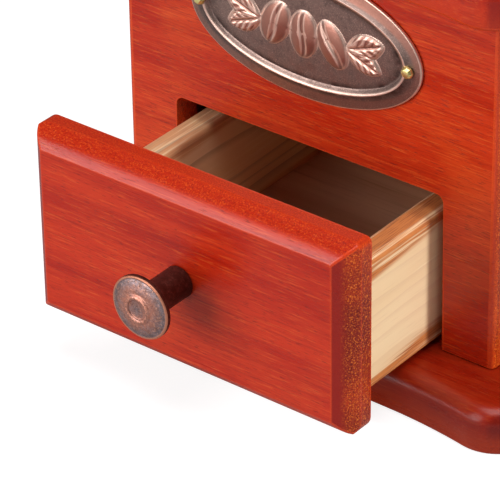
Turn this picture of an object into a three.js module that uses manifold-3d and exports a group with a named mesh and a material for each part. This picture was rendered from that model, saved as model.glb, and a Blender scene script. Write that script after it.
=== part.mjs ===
// Hand-cranked box mill for coffee: a wooden box with a drawer, a metal hopper bowl and conical burrs.
// Millimetres, +Z up, +X right, -Y front. The origin is the centre of the base board's underside.
import * as THREE from 'three';
import Module from 'manifold-3d';
import { mergeVertices } from 'three/addons/utils/BufferGeometryUtils.js';

// ---------------------------------------------------------------- driving dimensions
const GAP = 0.3; // clearance between pieces that touch
const RUNNING = 0.1; // radial clearance of a shaft or a screw in its hole

// wooden box
const BOX = 115; // outer width and depth of the box
const WALL = 8;
const BOX_HEIGHT = 97;
const BOARD_THICKNESS = 12; // base board and top board
const BOARD_ROUND = 4.5; // rounded-over top edge of both boards
const BASE_HALF = 72.1; // half width of the base board between its flared corners
const BASE_FLARE = 2.4;
const TOP_HALF = 62.6;
const TOP_FLARE = 1.7;
const CORNER_RADIUS = 12;
const ARRIS = 1.5; // softened vertical edges of the box
const SEAM = 48; // height of the glue line in the front, above the base board

// drawer opening and drawer
const OPENING_WIDTH = 83.5;
const OPENING_HEIGHT = 44.6;
const OPENING_CORNER = 2;
const PULLED_OUT = 39.3; // how far the drawer stands open at rest
const FRONT_WIDTH = 98.8;
const FRONT_HEIGHT = 53.9;
const FRONT_RISE = 1.45; // underside of the drawer front above the base board
const FRONT_THICKNESS = 10;
const FRONT_EDGE = 4.3; // thickness left at the rim of the bevelled front
const FRONT_BEVEL = 5;
const FRONT_CORNER = 3;
const DRAWER_WIDTH = 78.8;
const DRAWER_LENGTH = 100;
const DRAWER_RISE = 1.9;
const DRAWER_HEIGHT = 36.8;
const DRAWER_WALL = 7.4;
const DRAWER_FLOOR = 3.2;
const FLOOR_RISE = 3.8; // drawer floor above the lower edge of the drawer sides
const GROOVE_DEPTH = 3;
const GUIDE_DEPTH = 7.6;
const RUNNER_WIDTH = 10;

// pull knob and plaque
const KNOB_LENGTH = 16.3; // to the crown of the domed disc
const KNOB_RIM = 14.9; // to the front of the disc's rim
const KNOB_RADIUS = 8.5;
const KNOB_STEM = 4.25;
const KNOB_ASIDE = -1.1; // its hole is drilled a little off the middle of the front
const KNOB_RAISE = 0.6;
const PLAQUE_HALF_WIDTH = 35.5;
const PLAQUE_HALF_HEIGHT = 18;
const PLAQUE_RISE = 76.5; // plaque centre above the base board
const PLAQUE_THICKNESS = 1.4;
const NAIL_SPACING = 63.8;

// hopper bowl and the bridge over it
const BOWL_RADIUS = 45.5;
const BOWL_FLOOR = 37;
const BOWL_HEIGHT = 32;
const SHEET = 1.2;
const THROAT = 18;
const BOLT_CIRCLE = 32;
const BOLT_COUNT = 3;
const BOLT_RADIUS = 1.9;
const STRAP_WIDTH = 13;
const STRAP_THICKNESS = 2;
const STRAP_DROP = 11; // length of the strap's turned-down ends
const STRAP_SCREW = 1.5;
const STRAP_HOLE = 1.8;

// burrs and their housing
const HOUSING_RADIUS = 27.5;
const HOUSING_HEIGHT = 32.7;
const HOUSING_FLANGE = 37;
const OUTER_BURR_RADIUS = 23;
const OUTER_BURR_HEIGHT = 21.7;
const INNER_BURR_HEIGHT = 20;
const INNER_BURR_RADIUS = 18.2;
const BURR_TEETH = 18;
const TOOTH_DEPTH = 0.3;

// spindle, adjusting nut and crank
const SPINDLE_RADIUS = 4;
const PIVOT_RADIUS = 3;
const SQUARE = 5.6; // square on the spindle that drives the crank
const STUD_RADIUS = 2.4; // threaded stud for the cap nut
const COLLAR_RADIUS = 7;
const BURR_NUT_HEIGHT = 3.4;
const ADJUSTER_RADIUS = 11;
const ADJUSTER_HEIGHT = 6;
const LIFT = 0.4; // axial adjustment of the inner burr either way
const CRANK_RADIUS = 105;
const CRANK_THICKNESS = 3;
const CRANK_JOGGLE = 8;
const GRIP_HEIGHT = 36;
const GRIP_RADIUS = 14;
const GRIP_PIN = 2;

// facets
const ROUND = 32;
const SMALL_ROUND = 16;
const BOWL_ROUND = 48;
const BURR_ROUND = 72;
const ARC = 3; // half the facets in a quarter turn of an outline

// ---------------------------------------------------------------- levels, from the dimensions above
const baseTop = BOARD_THICKNESS;
const boxTop = baseTop + BOX_HEIGHT;
const topBoardTop = boxTop + BOARD_THICKNESS;
const half = BOX / 2;
const inside = half - WALL;
const drawerBack = -half - PULLED_OUT; // rear plane of the drawer front at rest
const frontFace = drawerBack - FRONT_THICKNESS;
const drawerLow = baseTop + DRAWER_RISE;
const drawerHigh = drawerLow + DRAWER_HEIGHT;
const drawerHalf = DRAWER_WIDTH / 2;
const drawerEnd = drawerBack + DRAWER_LENGTH;
const frontLow = baseTop + FRONT_RISE;
const frontMiddle = frontLow + FRONT_HEIGHT / 2;
const knobMiddle = frontMiddle + KNOB_RAISE;
const bowlLow = topBoardTop + GAP;
const bowlFloorTop = bowlLow + SHEET;
const bowlTop = bowlLow + BOWL_HEIGHT;
const strapLow = bowlTop + GAP;
const strapHigh = strapLow + STRAP_THICKNESS;
const strapScrewHeight = strapLow - 7;
const housingTop = boxTop - GAP;
const housingLow = housingTop - HOUSING_HEIGHT;
const flangeLow = housingTop - 4;
const ledgeTop = housingLow + 8;
const burrRingLow = ledgeTop + GAP;
const innerBurrLow = burrRingLow - GAP;
const burrNutLow = innerBurrLow - GAP - BURR_NUT_HEIGHT;
const collarLow = strapLow - 25.4;
const collarHigh = collarLow + 2.7;
const seatLow = collarHigh + GAP;
const seatHigh = seatLow + 1;
const bushLow = strapLow - 3.2;
const bushFlangeLow = strapHigh + GAP;
const bushHigh = bushFlangeLow + 1.5;
const adjusterLow = bushHigh + GAP;
const adjusterHigh = adjusterLow + ADJUSTER_HEIGHT;
const lockLow = adjusterHigh + GAP;
const lockHigh = lockLow + 1.2;
const armLow = lockHigh + LIFT + GAP;
const armHigh = armLow + CRANK_THICKNESS;
const studHigh = armHigh + 7;
const armEndLow = armLow + CRANK_JOGGLE;
const armEndHigh = armEndLow + CRANK_THICKNESS;
const gripLow = armEndHigh + 1 + 2 * GAP;
const gripHigh = gripLow + GRIP_HEIGHT;

// ---------------------------------------------------------------- finishes
const finishes = {
  redWood: { color: 0xa83218, roughness: 0.35, metalness: 0 },
  pine: { color: 0xe6c08a, roughness: 0.6, metalness: 0 },
  plywood: { color: 0x9a7a58, roughness: 0.7, metalness: 0 },
  copper: { color: 0x7c6058, roughness: 0.4, metalness: 0.9 },
  darkCopper: { color: 0x3a2620, roughness: 0.4, metalness: 0.9 },
  brass: { color: 0xd8b050, roughness: 0.25, metalness: 1 },
  iron: { color: 0x4a4a4c, roughness: 0.6, metalness: 0.9 },
  steel: { color: 0x9a9a9e, roughness: 0.3, metalness: 1 },
};

const wasm = await Module();
wasm.setup();
const mill = new THREE.Group();

function add(name, geometry, finish) {
  const mesh = new THREE.Mesh(geometry, new THREE.MeshStandardMaterial(finishes[finish]));
  mesh.name = name;
  mill.add(mesh);
}

// ---------------------------------------------------------------- joining and cutting
function toSolid(geometry) {
  const bare = geometry.clone();
  bare.deleteAttribute('normal');
  bare.deleteAttribute('uv');
  const welded = mergeVertices(bare, 1e-4);
  const corners = welded.index.array;
  const triangles = [];
  for (let i = 0; i < corners.length; i += 3) {
    const [a, b, c] = corners.slice(i, i + 3);
    if (a !== b && b !== c && c !== a) triangles.push(a, b, c);
  }
  const vertProperties = new Float32Array(welded.attributes.position.array);
  const mesh = new wasm.Mesh({ numProp: 3, vertProperties, triVerts: new Uint32Array(triangles) });
  return new wasm.Manifold(mesh);
}

function toGeometry(solid) {
  const mesh = solid.getMesh();
  const geometry = new THREE.BufferGeometry();
  geometry.setAttribute('position', new THREE.BufferAttribute(mesh.vertProperties, 3));
  geometry.setIndex(new THREE.BufferAttribute(mesh.triVerts, 1));
  geometry.computeVertexNormals();
  return geometry;
}

function cut(geometry, ...tools) {
  const remaining = tools.reduce((solid, tool) => solid.subtract(toSolid(tool)), toSolid(geometry));
  return toGeometry(remaining);
}

function join(geometry, ...others) {
  const whole = others.reduce((solid, other) => solid.add(toSolid(other)), toSolid(geometry));
  return toGeometry(whole);
}

function common(geometry, other) {
  return toGeometry(toSolid(geometry).intersect(toSolid(other)));
}

// ---------------------------------------------------------------- basic shapes
function block(x0, x1, y0, y1, z0, z1) {
  const box = new THREE.BoxGeometry(x1 - x0, y1 - y0, z1 - z0);
  return box.translate((x0 + x1) / 2, (y0 + y1) / 2, (z0 + z1) / 2);
}

function rod(radius, z0, z1, x = 0, y = 0, sides = SMALL_ROUND) {
  const cylinder = new THREE.CylinderGeometry(radius, radius, z1 - z0, sides);
  return cylinder.rotateX(Math.PI / 2).translate(x, y, (z0 + z1) / 2);
}

function rodAlongY(radius, y0, y1, x, z, sides = SMALL_ROUND) {
  const cylinder = new THREE.CylinderGeometry(radius, radius, y1 - y0, sides);
  return cylinder.translate(x, (y0 + y1) / 2, z);
}

// profile: [radius, height] pairs up the outside; turned about the Z axis
function turned(profile, sides = ROUND) {
  const points = profile.map(([radius, height]) => new THREE.Vector2(radius, height));
  return new THREE.LatheGeometry(points, sides).rotateX(Math.PI / 2);
}

// a turned piece whose profile runs round a ring and closes on itself
function turnedRing(profile, sides = ROUND) {
  return turned([...profile, profile[0]], sides);
}

function washer(inner, outer, z0, z1, sides = SMALL_ROUND) {
  return turnedRing([[inner, z0], [outer, z0], [outer, z1], [inner, z1]], sides);
}

// a flat outline in X and Z, given thickness along Y
function alongY(shape, y0, y1) {
  return alongZ(shape, 0, y1 - y0).rotateX(Math.PI / 2).translate(0, y1, 0);
}

// a flat outline in X and Y, given thickness along Z
function alongZ(shape, z0, z1) {
  const settings = { depth: z1 - z0, bevelEnabled: false, curveSegments: ARC };
  return new THREE.ExtrudeGeometry(shape, settings).translate(0, 0, z0);
}

function roundedRectangle(x0, x1, y0, y1, radius) {
  const shape = new THREE.Shape();
  shape.moveTo(x0 + radius, y0);
  shape.lineTo(x1 - radius, y0);
  shape.absarc(x1 - radius, y0 + radius, radius, -Math.PI / 2, 0);
  shape.lineTo(x1, y1 - radius);
  shape.absarc(x1 - radius, y1 - radius, radius, 0, Math.PI / 2);
  shape.lineTo(x0 + radius, y1);
  shape.absarc(x0 + radius, y1 - radius, radius, Math.PI / 2, Math.PI);
  shape.lineTo(x0, y0 + radius);
  shape.absarc(x0 + radius, y0 + radius, radius, Math.PI, 1.5 * Math.PI);
  return shape;
}

// waves cut into a turned piece's surface, where chosen(radius, height) is true
function fluted(geometry, count, depth, twist, chosen) {
  const place = geometry.attributes.position;
  for (let i = 0; i < place.count; i += 1) {
    const x = place.getX(i);
    const y = place.getY(i);
    const radius = Math.hypot(x, y);
    const height = place.getZ(i);
    if (chosen(radius, height)) {
      const wave = depth * Math.cos(count * Math.atan2(y, x) + twist * height);
      place.setXY(i, (x * (radius + wave)) / radius, (y * (radius + wave)) / radius);
    }
  }
  return geometry;
}

// ---------------------------------------------------------------- moulded boards
// square board whose edges swell towards generously rounded corners
function boardOutline(halfWidth, flare) {
  const lean = 0.17; // angle at which the flare meets the corner arc
  const centre = halfWidth + flare - CORNER_RADIUS;
  const startX = centre - CORNER_RADIUS * Math.sin(lean);
  const startY = centre + CORNER_RADIUS * Math.cos(lean);
  const control = startX - (startY - halfWidth) / Math.tan(lean);
  const flatEnd = 2 * control - startX;
  const outline = new THREE.Shape();
  const origin = new THREE.Vector2();
  outline.moveTo(-startX, -startY);
  for (let quarter = 0; quarter < 4; quarter += 1) {
    const angle = (quarter * Math.PI) / 2;
    const place = (x, y) => new THREE.Vector2(x, y).rotateAround(origin, angle);
    const firstBend = place(-control, -halfWidth);
    const first = place(-flatEnd, -halfWidth);
    const last = place(flatEnd, -halfWidth);
    const lastBend = place(control, -halfWidth);
    const start = place(startX, -startY);
    const middle = place(centre, -centre);
    outline.quadraticCurveTo(firstBend.x, firstBend.y, first.x, first.y);
    outline.lineTo(last.x, last.y);
    outline.quadraticCurveTo(lastBend.x, lastBend.y, start.x, start.y);
    outline.absarc(middle.x, middle.y, CORNER_RADIUS, angle - Math.PI / 2 - lean, angle + lean);
  }
  return outline;
}

// the round-over is made on both faces, and the lower one is cut away
function mouldedBoard(halfWidth, flare, low) {
  const solid = new THREE.ExtrudeGeometry(boardOutline(halfWidth, flare), {
    depth: BOARD_THICKNESS,
    curveSegments: ARC,
    bevelEnabled: true,
    bevelSegments: 3,
    bevelSize: BOARD_ROUND,
    bevelThickness: BOARD_ROUND,
    bevelOffset: -BOARD_ROUND,
  });
  solid.translate(0, 0, low - BOARD_ROUND);
  const reach = halfWidth + 2 * CORNER_RADIUS;
  return cut(solid, block(-reach, reach, -reach, reach, low - 3 * BOARD_ROUND, low));
}

// ---------------------------------------------------------------- wooden box
const screwAcross = half - WALL / 2;
const screwAlong = 30;
const screwPlaces = [
  [-screwAcross, -screwAlong], [-screwAcross, screwAlong],
  [screwAcross, -screwAlong], [screwAcross, screwAlong],
];
const screwRadius = 1.7;
const screwHead = 3.6;
const screwTip = baseTop + 18;

function baseBoard() {
  const holes = screwPlaces.map(([x, y]) => turned([
    [0, -1], [screwHead + GAP, -1], [screwHead + GAP, 1.2], [screwRadius + GAP, 3.4],
    [screwRadius + GAP, baseTop + 1], [0, baseTop + 1],
  ], SMALL_ROUND).translate(x, y, 0));
  return cut(mouldedBoard(BASE_HALF, BASE_FLARE, 0), ...holes);
}

function baseScrew(x, y) {
  const profile = [
    [0, 0.6], [screwHead, 0.6], [screwHead, 1.1], [screwRadius, 3.2],
    [screwRadius, screwTip - 3], [0, screwTip],
  ];
  return turned(profile, SMALL_ROUND).translate(x, y, 0);
}

function topBoard() {
  const low = boxTop - 1;
  const high = topBoardTop + 1;
  const throat = rod(THROAT + 2, low, high, 0, 0, ROUND);
  const holes = boltPlaces().map(([x, y]) => rod(BOLT_RADIUS + GAP, low, high, x, y));
  return cut(mouldedBoard(TOP_HALF, TOP_FLARE, boxTop), throat, ...holes);
}

function boxSection() {
  return alongZ(roundedRectangle(-half, half, -half, half, ARRIS), baseTop, boxTop);
}

function frontLower() {
  const low = baseTop + GAP;
  const high = baseTop + SEAM - GAP / 2;
  const head = baseTop + OPENING_HEIGHT;
  const jamb = OPENING_WIDTH / 2;
  const corner = OPENING_CORNER;
  const shape = new THREE.Shape();
  shape.moveTo(-half, low);
  shape.lineTo(-jamb, low);
  shape.lineTo(-jamb, head - corner);
  shape.absarc(-jamb + corner, head - corner, corner, Math.PI, Math.PI / 2, true);
  shape.lineTo(jamb - corner, head);
  shape.absarc(jamb - corner, head - corner, corner, Math.PI / 2, 0, true);
  shape.lineTo(jamb, low);
  shape.lineTo(half, low);
  shape.lineTo(half, high);
  shape.lineTo(-half, high);
  return common(alongY(shape, -half, -inside), boxSection());
}

function frontUpper() {
  const board = block(-half, half, -half, -inside, baseTop + SEAM + GAP / 2, boxTop - GAP);
  const holes = [-1, 1].map((side) => nailHole(side));
  return cut(common(board, boxSection()), ...holes);
}

function backPanel() {
  return common(block(-half, half, inside, half, baseTop + GAP, boxTop - GAP), boxSection());
}

function sidePanel(side) {
  const edges = [side * inside, side * half].sort((a, b) => a - b);
  const board = block(edges[0], edges[1], GAP - inside, inside - GAP, baseTop + GAP, boxTop - GAP);
  const holes = screwPlaces
    .filter(([x]) => x * side > 0)
    .map(([x, y]) => rod(screwRadius + GAP, baseTop, screwTip + GAP, x, y));
  return cut(board, ...holes);
}

function runner(side) {
  const middle = side * (drawerHalf - DRAWER_WALL / 2);
  const reach = RUNNER_WIDTH / 2;
  return block(middle - reach, middle + reach, -inside, inside - GAP, baseTop + GAP, drawerLow - GAP);
}

function guide(side) {
  const edges = [side * (inside - GAP), side * (inside - GUIDE_DEPTH)].sort((a, b) => a - b);
  return block(edges[0], edges[1], GAP - inside, inside - GAP, drawerLow + 8, drawerLow + 20);
}

// ---------------------------------------------------------------- plaque
const plaqueMiddle = baseTop + PLAQUE_RISE;
const plaqueFace = -half - GAP - PLAQUE_THICKNESS;
const nailRadius = 0.6;
const nailAcross = NAIL_SPACING / 2;

function nailHole(side) {
  const end = -inside - 1.5;
  return rodAlongY(nailRadius + 0.2, plaqueFace - 1, end, side * nailAcross, plaqueMiddle, 12);
}

function plaque() {
  const shape = new THREE.Shape();
  shape.absellipse(0, 0, PLAQUE_HALF_WIDTH, PLAQUE_HALF_HEIGHT, 0, 2 * Math.PI);
  const plate = new THREE.ExtrudeGeometry(shape, {
    depth: PLAQUE_THICKNESS - 1,
    curveSegments: 32,
    bevelEnabled: true,
    bevelSegments: 1,
    bevelSize: 0.7,
    bevelThickness: 0.5,
    bevelOffset: -0.7,
  });
  plate.rotateX(Math.PI / 2).translate(0, plaqueFace + PLAQUE_THICKNESS - 0.5, plaqueMiddle);
  return cut(plate, nailHole(-1), nailHole(1));
}

function plaqueNail(side) {
  const headRadius = 1.7;
  const lift = GAP + 0.1;
  const profile = [
    [0, -PLAQUE_THICKNESS - 6], [nailRadius, -PLAQUE_THICKNESS - 5], [nailRadius, lift],
    [headRadius, lift], [1.45, lift + 0.7], [0.9, lift + 1.1], [0, lift + 1.25],
  ];
  const nail = turned(profile, 12).rotateX(Math.PI / 2);
  return nail.translate(side * nailAcross, plaqueFace, plaqueMiddle);
}

// ---------------------------------------------------------------- drawer
function drawerFront() {
  const wide = FRONT_WIDTH / 2;
  const tall = FRONT_HEIGHT / 2;
  const rise = FRONT_THICKNESS - FRONT_EDGE;
  const raised = new THREE.BoxGeometry(FRONT_WIDTH, rise, FRONT_HEIGHT);
  const place = raised.attributes.position;
  for (let i = 0; i < place.count; i += 1) {
    if (place.getY(i) < 0) {
      place.setX(i, place.getX(i) * (wide - FRONT_BEVEL) / wide);
      place.setZ(i, place.getZ(i) * (tall - FRONT_BEVEL) / tall);
    }
  }
  raised.translate(0, frontFace + rise / 2, frontMiddle);
  const rim = block(-wide, wide, drawerBack - FRONT_EDGE, drawerBack, frontLow, frontLow + FRONT_HEIGHT);
  const outline = roundedRectangle(-wide, wide, frontLow, frontLow + FRONT_HEIGHT, FRONT_CORNER);
  const board = common(join(raised, rim), alongY(outline, frontFace - 1, drawerBack + 1));
  return cut(board, rodAlongY(1.9, frontFace - 1, drawerBack + 1, KNOB_ASIDE, knobMiddle));
}

// section of a drawer side, rounded along its upper edges and grooved for the floor
function drawerSide(side) {
  const soft = 1.2;
  const outer = side * drawerHalf;
  const inner = side * (drawerHalf - DRAWER_WALL);
  const grooveLow = drawerLow + FLOOR_RISE - 0.2;
  const grooveHigh = grooveLow + DRAWER_FLOOR + 0.4;
  const edges = [inner, outer].sort((a, b) => a - b);
  const shape = new THREE.Shape();
  shape.moveTo(edges[0], drawerLow);
  shape.lineTo(edges[1], drawerLow);
  shape.lineTo(edges[1], drawerHigh - soft);
  shape.absarc(edges[1] - soft, drawerHigh - soft, soft, 0, Math.PI / 2);
  shape.absarc(edges[0] + soft, drawerHigh - soft, soft, Math.PI / 2, Math.PI);
  const board = alongY(shape, drawerBack + GAP, drawerEnd);
  const grooveEdges = [inner - side, inner + side * GROOVE_DEPTH].sort((a, b) => a - b);
  const groove = block(...grooveEdges, drawerBack, drawerEnd + 1, grooveLow, grooveHigh);
  return cut(board, groove);
}

function drawerBackPanel() {
  const reach = drawerHalf - DRAWER_WALL - GAP;
  return block(-reach, reach, drawerEnd - DRAWER_WALL, drawerEnd, drawerLow, drawerHigh);
}

function drawerBottom() {
  const reach = drawerHalf - DRAWER_WALL + GROOVE_DEPTH - GAP;
  const low = drawerLow + FLOOR_RISE;
  return block(-reach, reach, drawerBack + GAP, drawerEnd - DRAWER_WALL - GAP, low, low + DRAWER_FLOOR);
}

// pull knob with a domed disc, a raised ring on its crown and a straight stem that flares behind it
function drawerKnob() {
  const ring = 0.38 * KNOB_RADIUS;
  const profile = [
    [0, 9], [1.8, 9], [1.8, 0], [KNOB_STEM, 0], [KNOB_STEM, 8.5], [KNOB_STEM + 0.4, 10.4],
    [KNOB_STEM + 1.5, 12.1], [KNOB_STEM + 3.2, 13.2], [KNOB_RADIUS, KNOB_RIM - 1.3],
    [KNOB_RADIUS, KNOB_RIM - 0.3], [KNOB_RADIUS - 0.4, KNOB_RIM], [KNOB_RADIUS - 1.6, KNOB_RIM + 0.35],
    [KNOB_RADIUS - 3.4, KNOB_RIM + 0.85], [ring + 0.5, KNOB_LENGTH - 0.3], [ring, KNOB_LENGTH],
    [ring - 0.6, KNOB_LENGTH - 0.3], [0, KNOB_LENGTH - 0.4],
  ];
  return turned(profile).rotateX(Math.PI / 2).translate(KNOB_ASIDE, frontFace - GAP, knobMiddle);
}

function knobScrew() {
  const headLow = drawerBack + GAP - frontFace;
  const profile = [
    [0, -headLow - 2.2], [3.2, -headLow - 2.2], [3.6, -headLow - 1.4], [3.6, -headLow],
    [1.5, -headLow], [1.5, 8], [0, 8],
  ];
  return turned(profile, SMALL_ROUND).rotateX(Math.PI / 2).translate(KNOB_ASIDE, frontFace, knobMiddle);
}

// ---------------------------------------------------------------- hopper bowl and its bolts
function boltPlaces() {
  return Array.from({ length: BOLT_COUNT }, (_, i) => {
    const angle = Math.PI / 6 + (i * 2 * Math.PI) / BOLT_COUNT;
    return [BOLT_CIRCLE * Math.cos(angle), BOLT_CIRCLE * Math.sin(angle)];
  });
}

function hopperBowl() {
  const straight = bowlTop - 16;
  const rim = 0.9; // radius of the bead along the rim
  const outer = BOWL_RADIUS + SHEET;
  const up = new THREE.Path();
  up.moveTo(THROAT, bowlLow);
  up.lineTo(BOWL_FLOOR, bowlLow);
  up.quadraticCurveTo(outer, bowlLow + 3, outer, straight);
  up.lineTo(outer, bowlTop - rim);
  up.absarc(outer - rim, bowlTop - rim, rim, 0, Math.PI);
  up.lineTo(BOWL_RADIUS, straight);
  up.quadraticCurveTo(BOWL_RADIUS, bowlFloorTop + 3, BOWL_FLOOR - 0.6, bowlFloorTop);
  up.lineTo(THROAT, bowlFloorTop);
  const profile = up.getPoints(4).map((point) => [point.x, point.y]);
  const hole = BOLT_RADIUS + GAP;
  const bolts = boltPlaces().map(([x, y]) => rod(hole, bowlLow - 1, bowlFloorTop + 1, x, y));
  const screws = rodAlongY(STRAP_HOLE, -2 * BOWL_RADIUS, 2 * BOWL_RADIUS, 0, strapScrewHeight);
  return cut(turnedRing(profile, BOWL_ROUND), ...bolts, screws);
}

function hopperBolt(x, y) {
  const seat = bowlFloorTop + GAP;
  const profile = [
    [0, flangeLow - 5], [BOLT_RADIUS, flangeLow - 5], [BOLT_RADIUS, seat], [3.6, seat],
    [3.6, seat + 1.4], [2.6, seat + 2.3], [0, seat + 2.5],
  ];
  const slot = block(-5, 5, -0.5, 0.5, seat + 1.5, seat + 4);
  return cut(turned(profile, SMALL_ROUND), slot).translate(x, y, 0);
}

function hexNut(acrossFlats, thickness, bore, low) {
  const radius = acrossFlats / Math.sqrt(3);
  return cut(rod(radius, low, low + thickness, 0, 0, 6), rod(bore, low - 1, low + thickness + 1));
}

// ---------------------------------------------------------------- bridge over the bowl
function topBridge() {
  const inner = BOWL_RADIUS + SHEET + GAP;
  const outer = inner + STRAP_THICKNESS;
  const soft = 2.5;
  const shape = new THREE.Shape();
  shape.moveTo(-outer, strapHigh - STRAP_DROP);
  shape.lineTo(-inner, strapHigh - STRAP_DROP);
  shape.lineTo(-inner, strapLow);
  shape.lineTo(inner, strapLow);
  shape.lineTo(inner, strapHigh - STRAP_DROP);
  shape.lineTo(outer, strapHigh - STRAP_DROP);
  shape.absarc(outer - soft, strapHigh - soft, soft, 0, Math.PI / 2);
  shape.absarc(soft - outer, strapHigh - soft, soft, Math.PI / 2, Math.PI);
  const strap = alongY(shape, -STRAP_WIDTH / 2, STRAP_WIDTH / 2).rotateZ(Math.PI / 2);
  const swell = rod(STRAP_WIDTH / 2 + 4, strapLow, strapHigh, 0, 0, ROUND);
  const bush = rod(6.5, strapLow - 1, strapHigh + 1, 0, 0, ROUND);
  const screws = rodAlongY(STRAP_HOLE, -2 * BOWL_RADIUS, 2 * BOWL_RADIUS, 0, strapScrewHeight);
  return cut(join(strap, swell), bush, screws);
}

function bridgeScrew() {
  const seat = BOWL_RADIUS + SHEET + STRAP_THICKNESS + 2 * GAP;
  const profile = [
    [0, seat - 10], [STRAP_SCREW, seat - 10], [STRAP_SCREW, seat], [3, seat], [3, seat + 1.1],
    [2, seat + 1.8], [0, seat + 2],
  ];
  const slot = block(-4, 4, -0.4, 0.4, seat + 1.1, seat + 3);
  const screw = cut(turned(profile, SMALL_ROUND), slot);
  return screw.rotateX(Math.PI / 2).translate(0, 0, strapScrewHeight);
}

function bridgeNut() {
  const nut = hexNut(5.5, 2.4, STRAP_SCREW + 0.2, BOWL_RADIUS - 4.2);
  return nut.rotateX(Math.PI / 2).translate(0, 0, strapScrewHeight);
}

function bridgeBush() {
  const bore = SPINDLE_RADIUS + RUNNING;
  return turnedRing([
    [bore, bushLow], [6.2, bushLow], [6.2, bushFlangeLow], [9, bushFlangeLow], [9, bushHigh],
    [bore, bushHigh],
  ]);
}

function spring() {
  const wire = 0.8;
  const coil = 5.9;
  const turns = 5.5;
  const low = seatHigh + LIFT + wire + 0.2;
  const high = bushLow - wire - 0.3;
  const path = new THREE.Curve();
  path.getPoint = (t) => {
    const angle = 2 * Math.PI * turns * t;
    return new THREE.Vector3(coil * Math.cos(angle), coil * Math.sin(angle), low + (high - low) * t);
  };
  const section = new THREE.Shape();
  section.absarc(0, 0, wire, 0, 2 * Math.PI);
  const settings = { steps: Math.round(turns * 14), curveSegments: ARC, extrudePath: path };
  return new THREE.ExtrudeGeometry(section, settings);
}

// ---------------------------------------------------------------- burrs and housing
function burrHousing() {
  const outlet = 20.6;
  const seat = OUTER_BURR_RADIUS + GAP;
  const shell = turnedRing([
    [outlet, housingLow], [HOUSING_RADIUS, housingLow], [HOUSING_RADIUS, flangeLow],
    [HOUSING_FLANGE, flangeLow], [HOUSING_FLANGE, housingTop], [seat, housingTop],
    [seat, ledgeTop], [outlet, ledgeTop],
  ]);
  const hole = BOLT_RADIUS + GAP;
  const bolts = boltPlaces().map(([x, y]) => rod(hole, flangeLow - 1, housingTop + 1, x, y));
  const screws = bridgeScrewPlaces().map((x) => rod(1.4, housingLow - 1, housingLow + 6, x, 0));
  return cut(shell, ...bolts, ...screws);
}

function outerBurr() {
  const low = burrRingLow;
  const high = low + OUTER_BURR_HEIGHT;
  const ring = turnedRing([
    [19.5, low], [OUTER_BURR_RADIUS, low], [OUTER_BURR_RADIUS, high], [17, high], [14, high - 5],
    [14.6, high - 8], [19.2, low + 3],
  ], BURR_ROUND);
  const toothed = (radius, height) => radius < OUTER_BURR_RADIUS - 1 && height < high - 1;
  return fluted(ring, BURR_TEETH, TOOTH_DEPTH, 0.05, toothed);
}

function innerBurr() {
  const low = innerBurrLow;
  const high = low + INNER_BURR_HEIGHT;
  const bore = SPINDLE_RADIUS + RUNNING;
  const cone = turnedRing([
    [bore, low], [INNER_BURR_RADIUS - 1, low], [INNER_BURR_RADIUS, low + 1.5],
    [INNER_BURR_RADIUS - 0.6, low + 3], [12.6, low + 10], [9.4, low + 15], [7, high - 1], [bore, high],
  ], BURR_ROUND);
  return fluted(cone, BURR_TEETH, TOOTH_DEPTH, -0.1, (radius) => radius > bore + 1);
}

function bridgeScrewPlaces() {
  return [-1, 1].map((side) => side * (HOUSING_RADIUS - 3.4));
}

function lowerBridge() {
  const high = housingLow - GAP;
  const reach = HOUSING_RADIUS - 0.5;
  const bar = alongZ(roundedRectangle(-reach, reach, -5, 5, 4), high - 3, high);
  const boss = rod(7, high - 7, high, 0, 0, ROUND);
  const bore = rod(PIVOT_RADIUS + RUNNING, high - 8, high + 1, 0, 0, ROUND);
  const screws = bridgeScrewPlaces().map((x) => rod(1.5, high - 4, high + 1, x, 0));
  return cut(join(bar, boss), bore, ...screws);
}

function lowerBridgeScrew(x) {
  const seat = housingLow - 3 - 2 * GAP;
  const tip = housingLow + 5;
  const profile = [[0, seat - 1.8], [2.3, seat - 1.6], [2.5, seat], [1.2, seat], [1.2, tip], [0, tip]];
  return turned(profile, SMALL_ROUND).translate(x, 0, 0);
}

function burrNut() {
  return hexNut(13, BURR_NUT_HEIGHT, SPINDLE_RADIUS + RUNNING, burrNutLow);
}

// ---------------------------------------------------------------- spindle and crank
function spindle() {
  const low = housingLow - 7;
  const shoulder = armLow - GAP;
  const body = turned([
    [0, low], [PIVOT_RADIUS, low], [PIVOT_RADIUS, housingLow + 1], [SPINDLE_RADIUS, burrNutLow - 1],
    [SPINDLE_RADIUS, collarLow], [COLLAR_RADIUS, collarLow], [COLLAR_RADIUS, collarHigh],
    [SPINDLE_RADIUS, collarHigh], [SPINDLE_RADIUS, shoulder], [STUD_RADIUS, shoulder],
    [STUD_RADIUS, studHigh], [0, studHigh],
  ]);
  const flat = SQUARE / 2;
  return join(body, block(-flat, flat, -flat, flat, armLow - 1, armHigh - 0.2));
}

function springSeat() {
  return washer(SPINDLE_RADIUS + RUNNING, 7.4, seatLow, seatHigh, ROUND);
}

function adjustingNut() {
  const bore = SPINDLE_RADIUS + RUNNING;
  const rim = ADJUSTER_RADIUS;
  const soft = 0.6;
  const wheel = turnedRing([
    [bore, adjusterLow], [7.5, adjusterLow], [7.5, adjusterLow + 1], [rim - soft, adjusterLow + 1],
    [rim, adjusterLow + 1 + soft], [rim, adjusterHigh - soft], [rim - soft, adjusterHigh],
    [bore, adjusterHigh],
  ], BURR_ROUND);
  return fluted(wheel, 24, 0.35, 0, (radius) => radius > ADJUSTER_RADIUS - 1);
}

function lockWasher() {
  return washer(SPINDLE_RADIUS + RUNNING, 8, lockLow, lockHigh, ROUND);
}

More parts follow.
